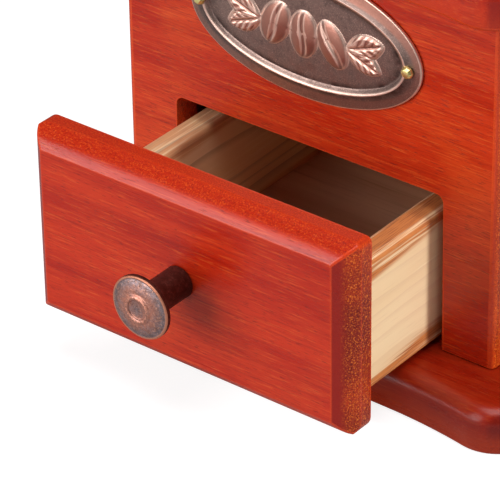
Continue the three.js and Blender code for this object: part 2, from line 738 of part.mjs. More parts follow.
// flat arm, joggled upwards and tapered from the hub to the grip
function crankArm() {
  const hub = 9.5;
  const tip = 6.5;
  const riseStart = 20;
  const riseEnd = 42;
  const early = riseStart + 10;
  const late = riseEnd - 10;
  const far = CRANK_RADIUS + tip + 1;
  const side = new THREE.Shape();
  side.moveTo(-hub - 1, armLow);
  side.lineTo(riseStart, armLow);
  side.bezierCurveTo(early, armLow, late, armEndLow, riseEnd, armEndLow);
  side.lineTo(far, armEndLow);
  side.lineTo(far, armEndHigh);
  side.lineTo(riseEnd, armEndHigh);
  side.bezierCurveTo(late, armEndHigh, early, armHigh, riseStart, armHigh);
  side.lineTo(-hub - 1, armHigh);
  const plan = new THREE.Shape();
  plan.absarc(0, 0, hub, Math.PI / 2, 1.5 * Math.PI);
  plan.lineTo(riseStart, -tip);
  plan.absarc(CRANK_RADIUS, 0, tip, -Math.PI / 2, Math.PI / 2);
  plan.lineTo(riseStart, tip);
  const arm = common(alongY(side, -hub - 1, hub + 1), alongZ(plan, armLow - 1, armEndHigh + 1));
  const flat = SQUARE / 2 + RUNNING;
  const square = block(-flat, flat, -flat, flat, armLow - 1, armHigh + 1);
  return cut(arm, square, rod(GRIP_PIN + RUNNING, armLow, armEndHigh + 1, CRANK_RADIUS, 0));
}

function capNut() {
  const low = armHigh + GAP;
  const hexagon = rod(5.2, low, low + 4, 0, 0, 6);
  const dome = turned([
    [0, low + 3], [4.4, low + 3], [4.4, low + 5.5], [3.4, low + 7.6], [1.6, low + 8.8], [0, low + 9.1],
  ]);
  return cut(join(hexagon, dome), rod(STUD_RADIUS + RUNNING, low - 1, studHigh + GAP));
}

function gripPin() {
  const headHigh = gripHigh - 0.6;
  const seat = armEndLow - GAP;
  const profile = [
    [0, seat - 1.5], [2.6, seat - 1.3], [3.6, seat], [GRIP_PIN, seat],
    [GRIP_PIN, headHigh - 2], [4, headHigh - 2], [4, headHigh - 0.8], [3, headHigh], [0, headHigh],
  ];
  return turned(profile, SMALL_ROUND).translate(CRANK_RADIUS, 0, 0);
}

function gripWasher() {
  const low = armEndHigh + GAP;
  return washer(GRIP_PIN + RUNNING, 5.5, low, low + 1).translate(CRANK_RADIUS, 0, 0);
}

// turned wooden grip: a short neck that swells to a rounded top, counterbored for the pin's head
function grip() {
  const bore = GRIP_PIN + 0.35;
  const stations = [[8, 0], [7.6, 3], [8.6, 9], [12, 17], [GRIP_RADIUS, 25], [12, 32], [7, GRIP_HEIGHT]];
  const places = stations.map(([radius, height]) => new THREE.Vector2(radius, height));
  const bulge = new THREE.SplineCurve(places);
  const outside = bulge.getPoints(10).map((point) => [point.x, gripLow + point.y]);
  const profile = [
    [bore, gripLow], ...outside, [4.5, gripHigh], [4.5, gripHigh - 3], [bore, gripHigh - 3],
  ];
  return turnedRing(profile).translate(CRANK_RADIUS, 0, 0);
}

// ---------------------------------------------------------------- assembly
const sides = [['left', -1], ['right', 1]];

add('base_board', baseBoard(), 'redWood');
add('top_board', topBoard(), 'redWood');
add('front_plank_lower', frontLower(), 'redWood');
add('front_plank_upper', frontUpper(), 'redWood');
add('back_panel', backPanel(), 'redWood');
add('plaque', plaque(), 'copper');
for (const [name, side] of sides) {
  add(`${name}_panel`, sidePanel(side), 'redWood');
  add(`drawer_runner_${name}`, runner(side), 'pine');
  add(`drawer_guide_${name}`, guide(side), 'pine');
  add(`plaque_nail_${name}`, plaqueNail(side), 'brass');
  add(`drawer_side_${name}`, drawerSide(side), 'pine');
}
screwPlaces.forEach(([x, y], i) => add(`base_screw_${i + 1}`, baseScrew(x, y), 'steel'));

add('drawer_front', drawerFront(), 'redWood');
add('drawer_back', drawerBackPanel(), 'pine');
add('drawer_bottom', drawerBottom(), 'plywood');
add('drawer_knob', drawerKnob(), 'darkCopper');
add('knob_screw', knobScrew(), 'steel');

add('hopper_bowl', hopperBowl(), 'copper');
boltPlaces().forEach(([x, y], i) => {
  add(`hopper_bolt_${i + 1}`, hopperBolt(x, y), 'steel');
  const nut = hexNut(7, 3.2, BOLT_RADIUS + RUNNING, flangeLow - GAP - 3.2);
  add(`hopper_nut_${i + 1}`, nut.rotateZ(Math.atan2(y, x)).translate(x, y, 0), 'steel');
});
add('burr_housing', burrHousing(), 'iron');
add('outer_burr', outerBurr(), 'iron');
add('lower_bridge', lowerBridge(), 'iron');
bridgeScrewPlaces().forEach((x, i) => add(`lower_bridge_screw_${i + 1}`, lowerBridgeScrew(x), 'steel'));
add('top_bridge', topBridge(), 'copper');
add('bridge_bush', bridgeBush(), 'brass');
add('bridge_screw_front', bridgeScrew(), 'steel');
add('bridge_nut_front', bridgeNut(), 'steel');
add('bridge_screw_back', bridgeScrew().rotateZ(Math.PI), 'steel');
add('bridge_nut_back', bridgeNut().rotateZ(Math.PI), 'steel');
add('spring', spring(), 'steel');

add('spring_seat', springSeat(), 'steel');
add('spindle', spindle(), 'steel');
add('inner_burr', innerBurr(), 'iron');
add('burr_nut', burrNut(), 'steel');
add('adjusting_nut', adjustingNut(), 'brass');
add('lock_washer', lockWasher(), 'steel');
add('crank_arm', crankArm(), 'copper');
add('cap_nut', capNut(), 'brass');
add('grip_pin', gripPin(), 'brass');
add('grip_washer', gripWasher(), 'brass');
add('grip', grip(), 'redWood');

export default mill;
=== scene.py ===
"""Looks of the box coffee mill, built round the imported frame. Metres, +Z up, the front faces -Y."""
import math

import bmesh
import bpy
import numpy as np
from mathutils import Matrix, Vector


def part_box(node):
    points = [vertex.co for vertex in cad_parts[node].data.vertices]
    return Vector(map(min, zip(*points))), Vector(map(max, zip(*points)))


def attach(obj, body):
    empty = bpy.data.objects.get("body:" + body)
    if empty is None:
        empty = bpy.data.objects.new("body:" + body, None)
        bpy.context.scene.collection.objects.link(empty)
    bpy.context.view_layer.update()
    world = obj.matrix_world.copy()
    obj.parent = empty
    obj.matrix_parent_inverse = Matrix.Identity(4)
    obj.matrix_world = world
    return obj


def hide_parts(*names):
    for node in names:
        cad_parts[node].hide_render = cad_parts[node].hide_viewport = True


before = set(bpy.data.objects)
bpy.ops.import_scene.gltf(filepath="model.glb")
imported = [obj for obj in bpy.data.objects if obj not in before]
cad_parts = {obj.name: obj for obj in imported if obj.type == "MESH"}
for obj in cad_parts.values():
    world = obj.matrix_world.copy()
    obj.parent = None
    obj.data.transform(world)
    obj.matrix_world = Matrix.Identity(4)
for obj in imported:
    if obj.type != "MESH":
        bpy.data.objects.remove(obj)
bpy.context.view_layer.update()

MM = 0.001
MERGE = 1e-7  # metres between vertices that are taken for one
TURN = 2 * math.pi
AXES = {"X": 0, "Y": 1, "Z": 2}


def unit(value):
    """The value, kept between 0 and 1."""
    return min(1.0, max(0.0, value))


def half_chord(radius, x, least=0.0):
    """Half the width of a circle at x from its centre."""
    return math.sqrt(max(radius**2 - x**2, least**2))


# ---- node building
def linear(red, green, blue):
    """A colour given as it looks on a screen, 0 to 255, as Blender's linear colour."""
    values = []
    for part in (red, green, blue):
        c = part / 255
        values.append(c / 12.92 if c <= 0.04045 else ((c + 0.055) / 1.055) ** 2.4)
    return (*values, 1.0)


class Paint:
    """Short names for building the nodes of one material."""

    def __init__(self, name):
        self.material = bpy.data.materials.new(name)
        self.material.use_nodes = True
        self.tree = self.material.node_tree
        self.shader = self.tree.nodes["Principled BSDF"]
        coordinates = self.node("TexCoord")
        self.place = coordinates.outputs["Object"]
        self.normal = coordinates.outputs["Normal"]

    def put(self, socket, value):
        if isinstance(value, bpy.types.NodeSocket):
            self.tree.links.new(value, socket)
        else:
            socket.default_value = value

    def fill(self, node, **inputs):
        for name, value in inputs.items():
            self.put(node.inputs[name.replace("_", " ")], value)

    def set(self, **inputs):
        self.fill(self.shader, **inputs)

    def node(self, kind, **inputs):
        node = self.tree.nodes.new("ShaderNode" + kind)
        self.fill(node, **inputs)
        return node

    def mapped(self, scale, shift):
        """Object position scaled, and shifted so that no two pieces show the same pattern."""
        start = (shift, shift * 1.7, shift * 0.6)
        return self.node("Mapping", Vector=self.place, Scale=scale, Location=start).outputs["Vector"]

    def stretched(self, across, along, grain, shift=0.0):
        """Position counted in features that are across mm wide and along mm long."""
        scale = [1 / (across * MM)] * 3
        scale[AXES[grain]] = 1 / (along * MM)
        return self.mapped(scale, shift)

    def even(self, size, shift=0.0):
        """Position counted in features of the same size in mm all ways."""
        return self.mapped([1 / (size * MM)] * 3, shift)

    def noise(self, vector, detail=2.0, roughness=0.5, distortion=0.0):
        node = self.node("TexNoise", Vector=vector, Scale=1.0, Detail=detail)
        self.fill(node, Roughness=roughness, Distortion=distortion)
        return node.outputs["Fac"]

    def bands(self, vector, direction):
        """Year rings: bands that darken slowly and end sharply."""
        node = self.node("TexWave", Vector=vector, Scale=1.0, Distortion=0.5, Detail=1.0, Detail_Scale=0.6)
        node.bands_direction = direction
        node.wave_profile = "SAW"
        return node.outputs["Fac"]

    def span(self, value, low, high, start=0.0, end=1.0):
        """value from low to high, remapped smoothly to start to end."""
        node = self.node("MapRange", Value=value, From_Min=low, From_Max=high, To_Min=start, To_Max=end)
        node.interpolation_type = "SMOOTHSTEP"
        return node.outputs["Result"]

    def combine(self, operation, a, b, clamp=False):
        node = self.node("Math")
        node.operation = operation
        node.use_clamp = clamp
        self.put(node.inputs[0], a)
        self.put(node.inputs[1], b)
        return node.outputs[0]

    def plus(self, a, b):
        return self.combine("ADD", a, b, True)

    def times(self, a, b):
        return self.combine("MULTIPLY", a, b, True)

    def mix(self, a, b, factor, blend="MIX"):
        node = self.node("Mix")
        node.data_type = "RGBA"
        node.blend_type = blend
        for index, value in ((0, factor), (6, a), (7, b)):  # 6 and 7 are the colour sockets
            self.put(node.inputs[index], value)
        return node.outputs[2]

    def over(self, below, above, value, low, high, most=1.0):
        """Lays a screen colour over another colour, from nothing at low to most of it at high."""
        below = linear(*below) if isinstance(below, tuple) else below
        return self.mix(below, linear(*above), self.span(value, low, high, 0.0, most))

    def coats(self, colour, *coats):
        """Lays coats over a screen colour in turn, each as over() takes them."""
        for coat in coats:
            colour = self.over(colour, *coat)
        return colour

    def attribute(self, name):
        node = self.node("Attribute")
        node.attribute_name = name
        return node.outputs["Fac"]

    def facing(self, axis):
        """How far the surface faces along the axis: 0 on the sides, 1 on the ends."""
        node = self.node("SeparateXYZ", Vector=self.normal)
        return self.combine("ABSOLUTE", node.outputs[AXES[axis]], 0.0)

    def bump(self, height, distance, strength=1.0):
        node = self.node("Bump", Strength=strength, Distance=distance * MM, Height=height)
        self.set(Normal=node.outputs["Normal"])


# ---- materials
PORE = (0.62, 0.72)  # noise from just outside a pore to inside it


def red_wood(name, grain, shift, figured=1.0, tone=1.0):
    """Red-mahogany stain under satin varnish; figured is how much grain shows, tone darkens it."""
    paint = Paint(name)
    figure = paint.noise(paint.stretched(7, 120, grain, shift), 3.0, 0.55, 0.5)
    lines = paint.noise(paint.stretched(0.8, 60, grain, shift + 3), 3.0, 0.55, 0.3)
    fibre = paint.noise(paint.stretched(0.36, 8, grain, shift + 5), 2.0, 0.6)
    pores = paint.noise(paint.stretched(0.22, 2.6, grain, shift + 7), 1.0)
    cloud = paint.noise(paint.even(30, shift))
    specks = paint.noise(paint.even(0.4, shift), 2.0, 0.65)
    colour = paint.coats(
        (186, 38, 12),
        ((208, 56, 18), figure, 0.36, 0.64),
        ((216, 74, 26), cloud, 0.5, 0.72, 0.5),
        ((146, 22, 10), lines, 0.55, 0.70, 0.36 * figured),
        ((236, 108, 46), fibre, 0.54, 0.70, 0.46),
        ((146, 26, 12), fibre, 0.46, 0.28, 0.4),
        ((96, 14, 8), pores, *PORE, 0.55 * figured),
    )
    sanded = paint.coats(
        (186, 42, 10),
        ((232, 106, 36), specks, 0.52, 0.7),
        ((108, 20, 8), specks, 0.47, 0.3, 0.8),
    )
    colour = paint.mix(colour, sanded, paint.times(paint.attribute("sanded"), 0.75))
    facing = paint.facing(grain)
    colour = paint.over(colour, (146, 30, 20), facing, 0.3, 0.5, 0.9)
    sawn = paint.coats(
        (196, 66, 16),
        ((140, 36, 14), cloud, 0.4, 0.6),
        ((244, 142, 44), specks, 0.52, 0.70, 0.85),
        ((84, 18, 6), specks, 0.48, 0.3, 0.85),
    )
    colour = paint.mix(colour, sawn, paint.span(facing, 0.6, 0.85))
    # Lighter orange on the arrises: wear where the varnish thins, and a painted highlight along the edges and
    # mitres.
    rubbed_and_highlit = paint.span(paint.attribute("bulge"), 0.1, 0.8, 0, 0.8)
    worn_and_highlit = paint.times(rubbed_and_highlit, paint.span(specks, 0.3, 0.6, 0.5, 1))
    colour = paint.mix(colour, linear(224, 78, 30), worn_and_highlit)
    if tone != 1.0:
        colour = paint.mix(colour, (tone, tone * 0.8, tone * 0.8, 1.0), 1.0, "MULTIPLY")
    rough = paint.plus(paint.span(figure, 0.3, 0.7, 0.25, 0.33), paint.span(pores, *PORE, 0.0, 0.2))
    paint.set(Base_Color=colour, Roughness=rough, IOR=1.5, Specular_IOR_Level=0.36)
    ridges, pits = paint.span(fibre, 0.3, 0.8, 0.2, 0.5), paint.span(pores, *PORE, 0, 0.2)
    height = paint.plus(paint.combine("SUBTRACT", ridges, pits), paint.span(specks, 0.3, 0.7, 0, 0.3))
    paint.bump(height, 0.04, 0.6)
    return paint.material


HEART_LEAN = 0.095  # rise of the heartwood's edges along Y
HEART_TOP = (0.0512, 0.0535)  # heights in metres between which the upper heartwood begins
HEART_BOTTOM = (0.0262, 0.0232)  # and the lower, going down


def pine(name, grain, shift, tint=0.0, ring=(196, 124, 62), hearted=0.0, ringed=0.85):
    """Planed bare pine: pale early wood between late-wood lines.

    tint browns the sides but hardly the top and bottom faces, as painted shade, ringed is how strong the
    lines are, hearted how strong the heartwood at its edges is.
    """
    paint = Paint(name)
    sway = paint.noise(paint.stretched(16, 170, grain, shift))
    node = paint.node("VectorMath")
    node.operation = "ADD"
    paint.put(node.inputs[0], paint.stretched(15, 900, grain, shift))
    paint.put(node.inputs[1], paint.mix((0, 0, 0, 1), (1.3, 1.3, 1.3, 1), sway))
    rings = paint.bands(node.outputs[0], "Y" if grain == "Z" else "Z")
    streaks = paint.noise(paint.stretched(0.8, 36, grain, shift + 5), 3.0, 0.6)
    fibre = paint.noise(paint.stretched(0.3, 9, grain, shift + 9), 2.0, 0.6)
    colour = paint.coats(
        (242, 206, 154),
        ((232, 188, 128), sway, 0.35, 0.65),
        (ring, rings, 0.55, 0.98, ringed),
        ((250, 224, 180), streaks, 0.45, 0.3, 0.6),
        ((196, 142, 84), fibre, 0.55, 0.78, 0.4),
        ((214, 168, 112), paint.facing(grain), 0.6, 0.85),
        # paler on rounded edges: a painted highlight
        ((255, 232, 194), paint.attribute("bulge"), 0.2, 1.4, 0.5),
    )
    if hearted:
        place = paint.node("SeparateXYZ", Vector=paint.place)
        lean = paint.combine("MULTIPLY", place.outputs[1], HEART_LEAN)
        level = paint.combine("SUBTRACT", place.outputs[2], lean)
        edges = paint.plus(paint.span(level, *HEART_TOP), paint.span(level, *HEART_BOTTOM))
        streaked = paint.noise(paint.stretched(1.3, 60, grain, shift + 12), 3.0, 0.6)
        heart = paint.times(edges, paint.span(streaked, 0.62, 0.5, 0.15, 1))
        brown = paint.over((204, 118, 50), (166, 80, 28), fibre, 0.45, 0.65)
        colour = paint.mix(colour, brown, paint.times(heart, hearted))
    # Painted shade: the sides browned by tint, the top and bottom faces only a fifth as much.
    painted_shade = paint.span(paint.facing("Z"), 0.5, 0.9, tint, tint * 0.2)
    colour = paint.mix(colour, linear(170, 84, 22), painted_shade)
    paint.set(Base_Color=colour, Roughness=paint.span(rings, 0.4, 1.0, 0.62, 0.48), Specular_IOR_Level=0.3)
    height = paint.plus(paint.span(fibre, 0.2, 0.8, 0, 0.5), paint.span(rings, 0.5, 1.0, 0, 0.4))
    paint.bump(height, 0.05, 0.5)
    return paint.material


def plywood():
    paint = Paint("bare_plywood")
    grain = paint.noise(paint.stretched(1.2, 40, "X", 2), 3.0, 0.6)
    broad = paint.noise(paint.stretched(9, 120, "X", 5))
    colour = paint.coats(
        (240, 192, 158),
        ((220, 168, 134), broad, 0.3, 0.7),
        ((170, 116, 84), grain, 0.5, 0.75, 0.4),
    )
    paint.set(Base_Color=colour, Roughness=paint.span(grain, 0.2, 0.8, 0.6, 0.75))
    paint.bump(grain, 0.05, 0.5)
    return paint.material


def aged_copper(name, field, stain, bright, shift, lit=0.0):
    """Antique copper plate: patina in the hollows, bright where edges and raised work are rubbed, that
    brightening partly a painted highlight; attributes can add a painted sheen and painted shade.
    """
    paint = Paint(name)
    mottle = paint.noise(paint.even(3.4, shift), 5.0, 0.7)
    grit = paint.noise(paint.even(0.3, shift), 3.0, 0.65)
    brushed = paint.noise(paint.stretched(0.2, 6, "X", shift))
    colour = paint.coats(
        field,
        (stain, mottle, 0.45, 0.75, 0.75),
        (bright, grit, 0.5, 0.72, 0.35),
        ((48, 34, 32), grit, 0.38, 0.24, 0.7),
        # Copper over the raised work; on the plaque's flange, brighter towards the top, a painted sheen.
        ((184, 122, 104), paint.attribute("raise_and_sheen"), 0.2, 0.7, lit),
    )
    # Dark patina in the hollow inside the crest, and painted shade on the flange's lower half.
    patina_and_shade_mask = paint.times(paint.attribute("patina_and_shade"), paint.span(mottle, 0.6, 0.4, 0.3, 0.9))
    colour = paint.mix(colour, linear(54, 40, 38), patina_and_shade_mask)
    # Brighter copper on sharp bulges: rubbed wear, and a painted highlight on edges and crest.
    rubbed_and_highlit = paint.span(paint.attribute("bulge"), 0.15, 0.9, 0, 0.8)
    broken = paint.times(rubbed_and_highlit, paint.span(mottle, 0.25, 0.5, 0.6, 1.0))
    colour = paint.mix(colour, linear(*bright), broken)
    paint.set(Base_Color=colour, Metallic=0.8, Roughness=paint.span(mottle, 0.3, 0.7, 0.3, 0.44))
    height = paint.plus(paint.span(grit, 0.2, 0.8, 0, 0.6), paint.span(brushed, 0.5, 0.7, 0, 0.3))
    paint.bump(height, 0.03, 0.6)
    return paint.material


def knob_copper():
    """Dark bronzed stem; the face is mottled grey with copper flecks and a rubbed ring and rim."""
    paint = Paint("knob_copper")
    mottle = paint.noise(paint.even(1.6, 3), 4.0, 0.75)
    grit = paint.noise(paint.even(0.32, 9), 3.0, 0.7)
    flecks = paint.noise(paint.even(0.6, 15), 2.0, 0.7)
    stem = paint.coats(
        (76, 36, 28),
        ((108, 54, 46), mottle, 0.42, 0.7),
        ((30, 20, 14), grit, 0.5, 0.7, 0.6),
    )
    face = paint.over((148, 130, 134), (116, 92, 88), mottle, 0.35, 0.65)
    warm = paint.times(paint.attribute("warm"), paint.span(mottle, 0.3, 0.6, 0.5, 1.0))
    face = paint.mix(face, linear(204, 134, 112), warm)
    face = paint.coats(
        face,
        ((240, 176, 150), flecks, 0.5, 0.7, 0.5),
        ((58, 44, 44), grit, 0.48, 0.3, 0.7),
    )
    ring = paint.over((238, 166, 140), (158, 106, 92), flecks, 0.42, 0.58)
    face = paint.mix(face, ring, paint.span(paint.attribute("raise_and_sheen"), 0.3, 0.9, 0, 0.85))
    colour = paint.mix(stem, face, paint.attribute("face"))
    colour = paint.mix(colour, linear(216, 142, 112), paint.times(paint.attribute("rim"), 0.85))
    paint.set(Base_Color=colour, Metallic=0.75, Roughness=paint.span(mottle, 0.3, 0.7, 0.34, 0.5))
    height = paint.plus(paint.span(grit, 0.2, 0.8, 0, 0.6), paint.span(flecks, 0.4, 0.7, 0, 0.4))
    paint.bump(height, 0.05, 0.7)
    return paint.material


def metal(name, colour, tint, roughness, shift, grit_size=0.4, depth=0.02):
    """Plain metal with fine scratches and slight staining."""
    paint = Paint(name)
    stain = paint.noise(paint.even(6, shift), 3.0, 0.6)
    grit = paint.noise(paint.even(grit_size, shift), 3.0, 0.6)
    surface = paint.coats(
        colour,
        (tint, stain, 0.45, 0.75, 0.8),
        (tint, grit, 0.55, 0.8, 0.4),
    )
    rough = paint.span(stain, 0.3, 0.7, roughness, roughness + 0.12)
    paint.set(Base_Color=surface, Metallic=0.95, Roughness=rough)
    paint.bump(grit, depth, 0.5)
    return paint.material


WOOD_FRONT = red_wood("red_wood_front", "X", 0.0)
WOOD_DRAWER = red_wood("red_wood_drawer", "X", 11.0, 1.0, 0.92)
WOOD_SIDE = red_wood("red_wood_side", "Y", 23.0, 1.7, 0.74)
WOOD_TOP = red_wood("red_wood_top", "X", 37.0, 0.4, 0.86)
# The base board's copy, darkened by tone 0.5 as painted shade.
WOOD_BASE_SHADED = red_wood("red_wood_base_shaded", "X", 83.0, 0.4, 0.5)
WOOD_GRIP = red_wood("red_wood_grip", "Z", 51.0)
PINE_SIDE = pine("pine_side", "Y", 4.0, hearted=0.9, ringed=0.35)
# The drawer's inner left side: a copy browned by tint as painted shade.
PINE_LEFT_SHADED = pine("pine_left_shaded", "Y", 8.6, 0.35, (52, 18, 6), 0.55)
PINE_BACK = pine("pine_back", "X", 9.0)
PLYWOOD = plywood()
COPPER = aged_copper("aged_copper", (150, 118, 106), (112, 78, 68), (232, 184, 164), 3.0)
PLAQUE_COPPER = aged_copper("plaque_copper", (140, 116, 108), (88, 66, 62), (248, 208, 190), 17.0, 0.8)
KNOB_COPPER = knob_copper()
BRASS = metal("brass", (246, 218, 120), (214, 172, 70), 0.2, 5.0)
NAIL_BRASS = metal("nail_brass", (255, 240, 160), (240, 212, 110), 0.28, 21.0)
STEEL = metal("zinc_plate", (190, 190, 194), (150, 146, 140), 0.3, 8.0)
IRON = metal("cast_iron", (92, 92, 95), (58, 56, 56), 0.5, 13.0, 0.9, 0.12)


# ---- mesh building
def mark_bulge(mesh):
    """Stores how sharply the surface bulges at each vertex, in 1/mm, which places the wear."""
    place = np.empty(len(mesh.vertices) * 3)
    mesh.vertices.foreach_get("co", place)
    place = place.reshape(-1, 3)
    normal = np.array([v.normal for v in mesh.vertices])
    ends = np.empty(len(mesh.edges) * 2, int)
    mesh.edges.foreach_get("vertices", ends)
    first, second = ends.reshape(-1, 2).T
    step = place[second] - place[first]
    length = np.maximum((step**2).sum(1), 1e-12)
    bulge = np.zeros(len(place))
    np.maximum.at(bulge, first, -2 * (normal[first] * step).sum(1) / length)
    np.maximum.at(bulge, second, 2 * (normal[second] * step).sum(1) / length)
    attribute = mesh.attributes.new("bulge", "FLOAT", "POINT")
    attribute.data.foreach_set("value", np.clip(bulge * MM, 0, 5).astype(np.float32))


def placed(name, data):
    obj = bpy.data.objects.new(name, data)
    bpy.context.scene.collection.objects.link(obj)
    return obj


def piece(name, bm, body, material, nodes, sharp=40):
    """A finished object from a bmesh, riding on its body and standing for its CAD nodes.

    sharp is the angle in degrees above which an edge is not smoothed.
    """
    bmesh.ops.remove_doubles(bm, verts=bm.verts, dist=MERGE)
    bmesh.ops.recalc_face_normals(bm, faces=bm.faces)
    mesh = bpy.data.meshes.new(name)
    bm.to_mesh(mesh)
    bm.free()
    mark_bulge(mesh)
    mesh.polygons.foreach_set("use_smooth", [True] * len(mesh.polygons))
    mesh.set_sharp_from_angle(angle=math.radians(sharp))
    obj = placed(name, mesh)
    mesh.materials.append(material)
    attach(obj, body)
    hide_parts(*nodes)
    return obj


def tag(obj, name, value):
    """Stores value(x, y, z) of every vertex as an attribute for the materials."""
    layer = obj.data.attributes.new(name, "FLOAT", "POINT")
    layer.data.foreach_set("value", [float(value(*vertex.co)) for vertex in obj.data.vertices])


def paint_node(material, *names):
    """Gives carried-over CAD nodes their material."""
    for name in names:
        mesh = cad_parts[name].data
        mesh.materials.clear()
        mesh.materials.append(material)


def add_rings(bm, rings, capped=False):
    """Quads between successive rings of points, and caps on the end rings; returns the rings of vertices."""
    made = [[bm.verts.new(point) for point in ring] for ring in rings]
    for lower, upper in zip(made, made[1:]):
        for i in range(len(lower)):
            j = (i + 1) % len(lower)
            bm.faces.new([lower[i], lower[j], upper[j], upper[i]])
    if capped:
        bm.faces.new(made[0])
        bm.faces.new(made[-1])
    return made


def filleted(corners, steps=5, closed=True):
    """An outline whose corners (u, v, radius) are rounded with arcs.

    A point just beyond each end of an arc keeps the rounding's bulge off the flats beside it.
    """
    points = []
    count = len(corners)
    for i, (u, v, radius) in enumerate(corners):
        here = Vector((u, v))
        if radius <= 0 or (not closed and i in (0, count - 1)):
            points.append((u, v))
            continue
        before = Vector(corners[i - 1][:2]) - here
        after = Vector(corners[(i + 1) % count][:2]) - here
        half_angle = before.angle(after) / 2
        reach = radius / math.tan(half_angle)
        start = here + before.normalized() * reach
        end = here + after.normalized() * reach
        inward = (before.normalized() + after.normalized()).normalized()
        middle = here + inward * (radius / math.sin(half_angle))
        a0 = math.atan2(start.y - middle.y, start.x - middle.x)
        a1 = math.atan2(end.y - middle.y, end.x - middle.x)
        sweep = (a1 - a0 + math.pi) % TURN - math.pi
        leads = [min(0.4 * radius, max(0.02 * radius, arm.length / 2 - reach)) for arm in (before, after)]
        points.append(tuple(start + before.normalized() * leads[0]))
        for k in range(steps + 1):
            angle = a0 + sweep * k / steps
            points.append((middle.x + radius * math.cos(angle), middle.y + radius * math.sin(angle)))
        points.append(tuple(end + after.normalized() * leads[1]))
    return points


def outward(outline):
    """Outward offsets at the points of an anticlockwise outline, which keep its sides parallel."""
    points = np.asarray(outline, float)
    ahead = np.roll(points, -1, 0) - points
    ahead /= np.linalg.norm(ahead, axis=1)[:, None]
    behind = np.roll(ahead, 1, 0)
    right = np.stack([ahead[:, 1], -ahead[:, 0]], 1)
    right_behind = np.stack([behind[:, 1], -behind[:, 0]], 1)
    together = 1 + (right * right_behind).sum(1)
    return (right + right_behind) / np.maximum(together, 0.3)[:, None]


def in_space(u, v, level, along):
    """A point of an outline at a level along the slab's axis."""
    if along == "Z":
        return (u, v, level)
    if along == "Y":
        return (u, level, v)
    return (level, u, v)


FLAT_MARGIN = 0.3 * MM  # flat strip inside a rounded rim that takes up the rounding's bulge
HOLE_SIDES = 48


def slab(outline, along, low, high, round_low, round_high, weights=None, holes=(), steps=6):
    """An outline given thickness, its rims rounded by each point's weights across and up.

    Holes are (u, v, radius, depth) from the low face; one deeper than the slab goes through.
    """
    bm = bmesh.new()
    points = np.asarray(outline, float)
    push = outward(points)
    share = np.ones((len(points), 2)) if weights is None else np.asarray(weights, float)
    rings = []

    def rounding(radius, base, way):
        """(inset, rise, face level, way) from the face's flat strip down round the rim."""
        arc = [k / steps * math.pi / 2 for k in range(steps + 1)]
        line = [(radius * (1 - math.sin(a)), radius * (1 - math.cos(a)), base, way) for a in arc]
        return [(radius + FLAT_MARGIN, 0.0, base, way), *line]

    for inset, rise, base, way in rounding(round_low, low, 1) + rounding(round_high, high, -1)[::-1]:
        extra = FLAT_MARGIN if inset > max(round_low, round_high) else 0.0
        inner = points - push * ((inset - extra) * share + extra)
        ring = [in_space(u, v, base + way * rise * s, along) for (u, v), s in zip(inner, share.max(1))]
        rings.append(ring)
    made = add_rings(bm, rings)
    for ring, face_level, is_low in ((made[0], low, True), (made[-1], high, False)):
        loops = []
        for u, v, radius, depth in holes:
            through = depth >= high - low
            if not (is_low or through):
                continue
            angles = [TURN * k / HOLE_SIDES for k in range(HOLE_SIDES)]
            circle = [(u + radius * math.cos(a), v + radius * math.sin(a)) for a in angles]
            loop = [bm.verts.new(in_space(*c, face_level, along)) for c in circle]
            loops.append(loop)
            if is_low:
                far = high if through else low + depth
                end = [bm.verts.new(in_space(*c, far, along)) for c in circle]
                for i in range(HOLE_SIDES):
                    j = (i + 1) % HOLE_SIDES
                    bm.faces.new([loop[i], loop[j], end[j], end[i]])
                if not through:
                    bm.faces.new(end)
        if not loops:
            bm.faces.new(ring)
            continue
        edges = []
        for loop in [ring, *loops]:
            for i, vertex in enumerate(loop):
                other = loop[(i + 1) % len(loop)]
                edges.append(bm.edges.get([vertex, other]) or bm.edges.new([vertex, other]))
        bmesh.ops.triangle_fill(bm, use_beauty=True, edges=edges)
    return bm


def rectangle(u0, u1, v0, v1, radii=(0, 0, 0, 0), steps=5):
    """Anticlockwise from the lower left corner, each corner with its own radius."""
    corners = [(u0, v0, radii[0]), (u1, v0, radii[1]), (u1, v1, radii[2]), (u0, v1, radii[3])]
    return filleted(corners, steps)


def moved(bm, tilt, place):
    """The mesh tilted about the origin and moved to its place."""
    if tilt is not None:
        bmesh.ops.transform(bm, matrix=tilt, verts=bm.verts)
    bmesh.ops.translate(bm, vec=Vector(place), verts=bm.verts)
    return bm


def lathe(profile, sides=96, place=(0, 0, 0), tilt=None, ripple=None):
    """Turns (radius, height) pairs about Z; ripple(angle, radius, height) changes the radius."""
    bm = bmesh.new()
    rings = []
    for radius, height in profile:
        ring = []
        for k in range(sides):
            angle = TURN * k / sides
            r = radius if ripple is None else ripple(angle, radius, height)
            ring.append((r * math.cos(angle), r * math.sin(angle), height))
        rings.append(ring)
    made = add_rings(bm, rings)
    if profile[0] != profile[-1]:
        for ring, (radius, _) in ((made[0], profile[0]), (made[-1], profile[-1])):
            if radius > 0:
                bm.faces.new(ring)
    bmesh.ops.remove_doubles(bm, verts=bm.verts, dist=MERGE)
    bmesh.ops.dissolve_degenerate(bm, edges=bm.edges, dist=1e-8)
    return moved(bm, tilt, place)


FACING_FRONT = Matrix.Rotation(math.pi / 2, 4, "X")  # turns a lathe's height towards -Y


def centre_of(node):
    low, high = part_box(node)
    return (low + high) / 2


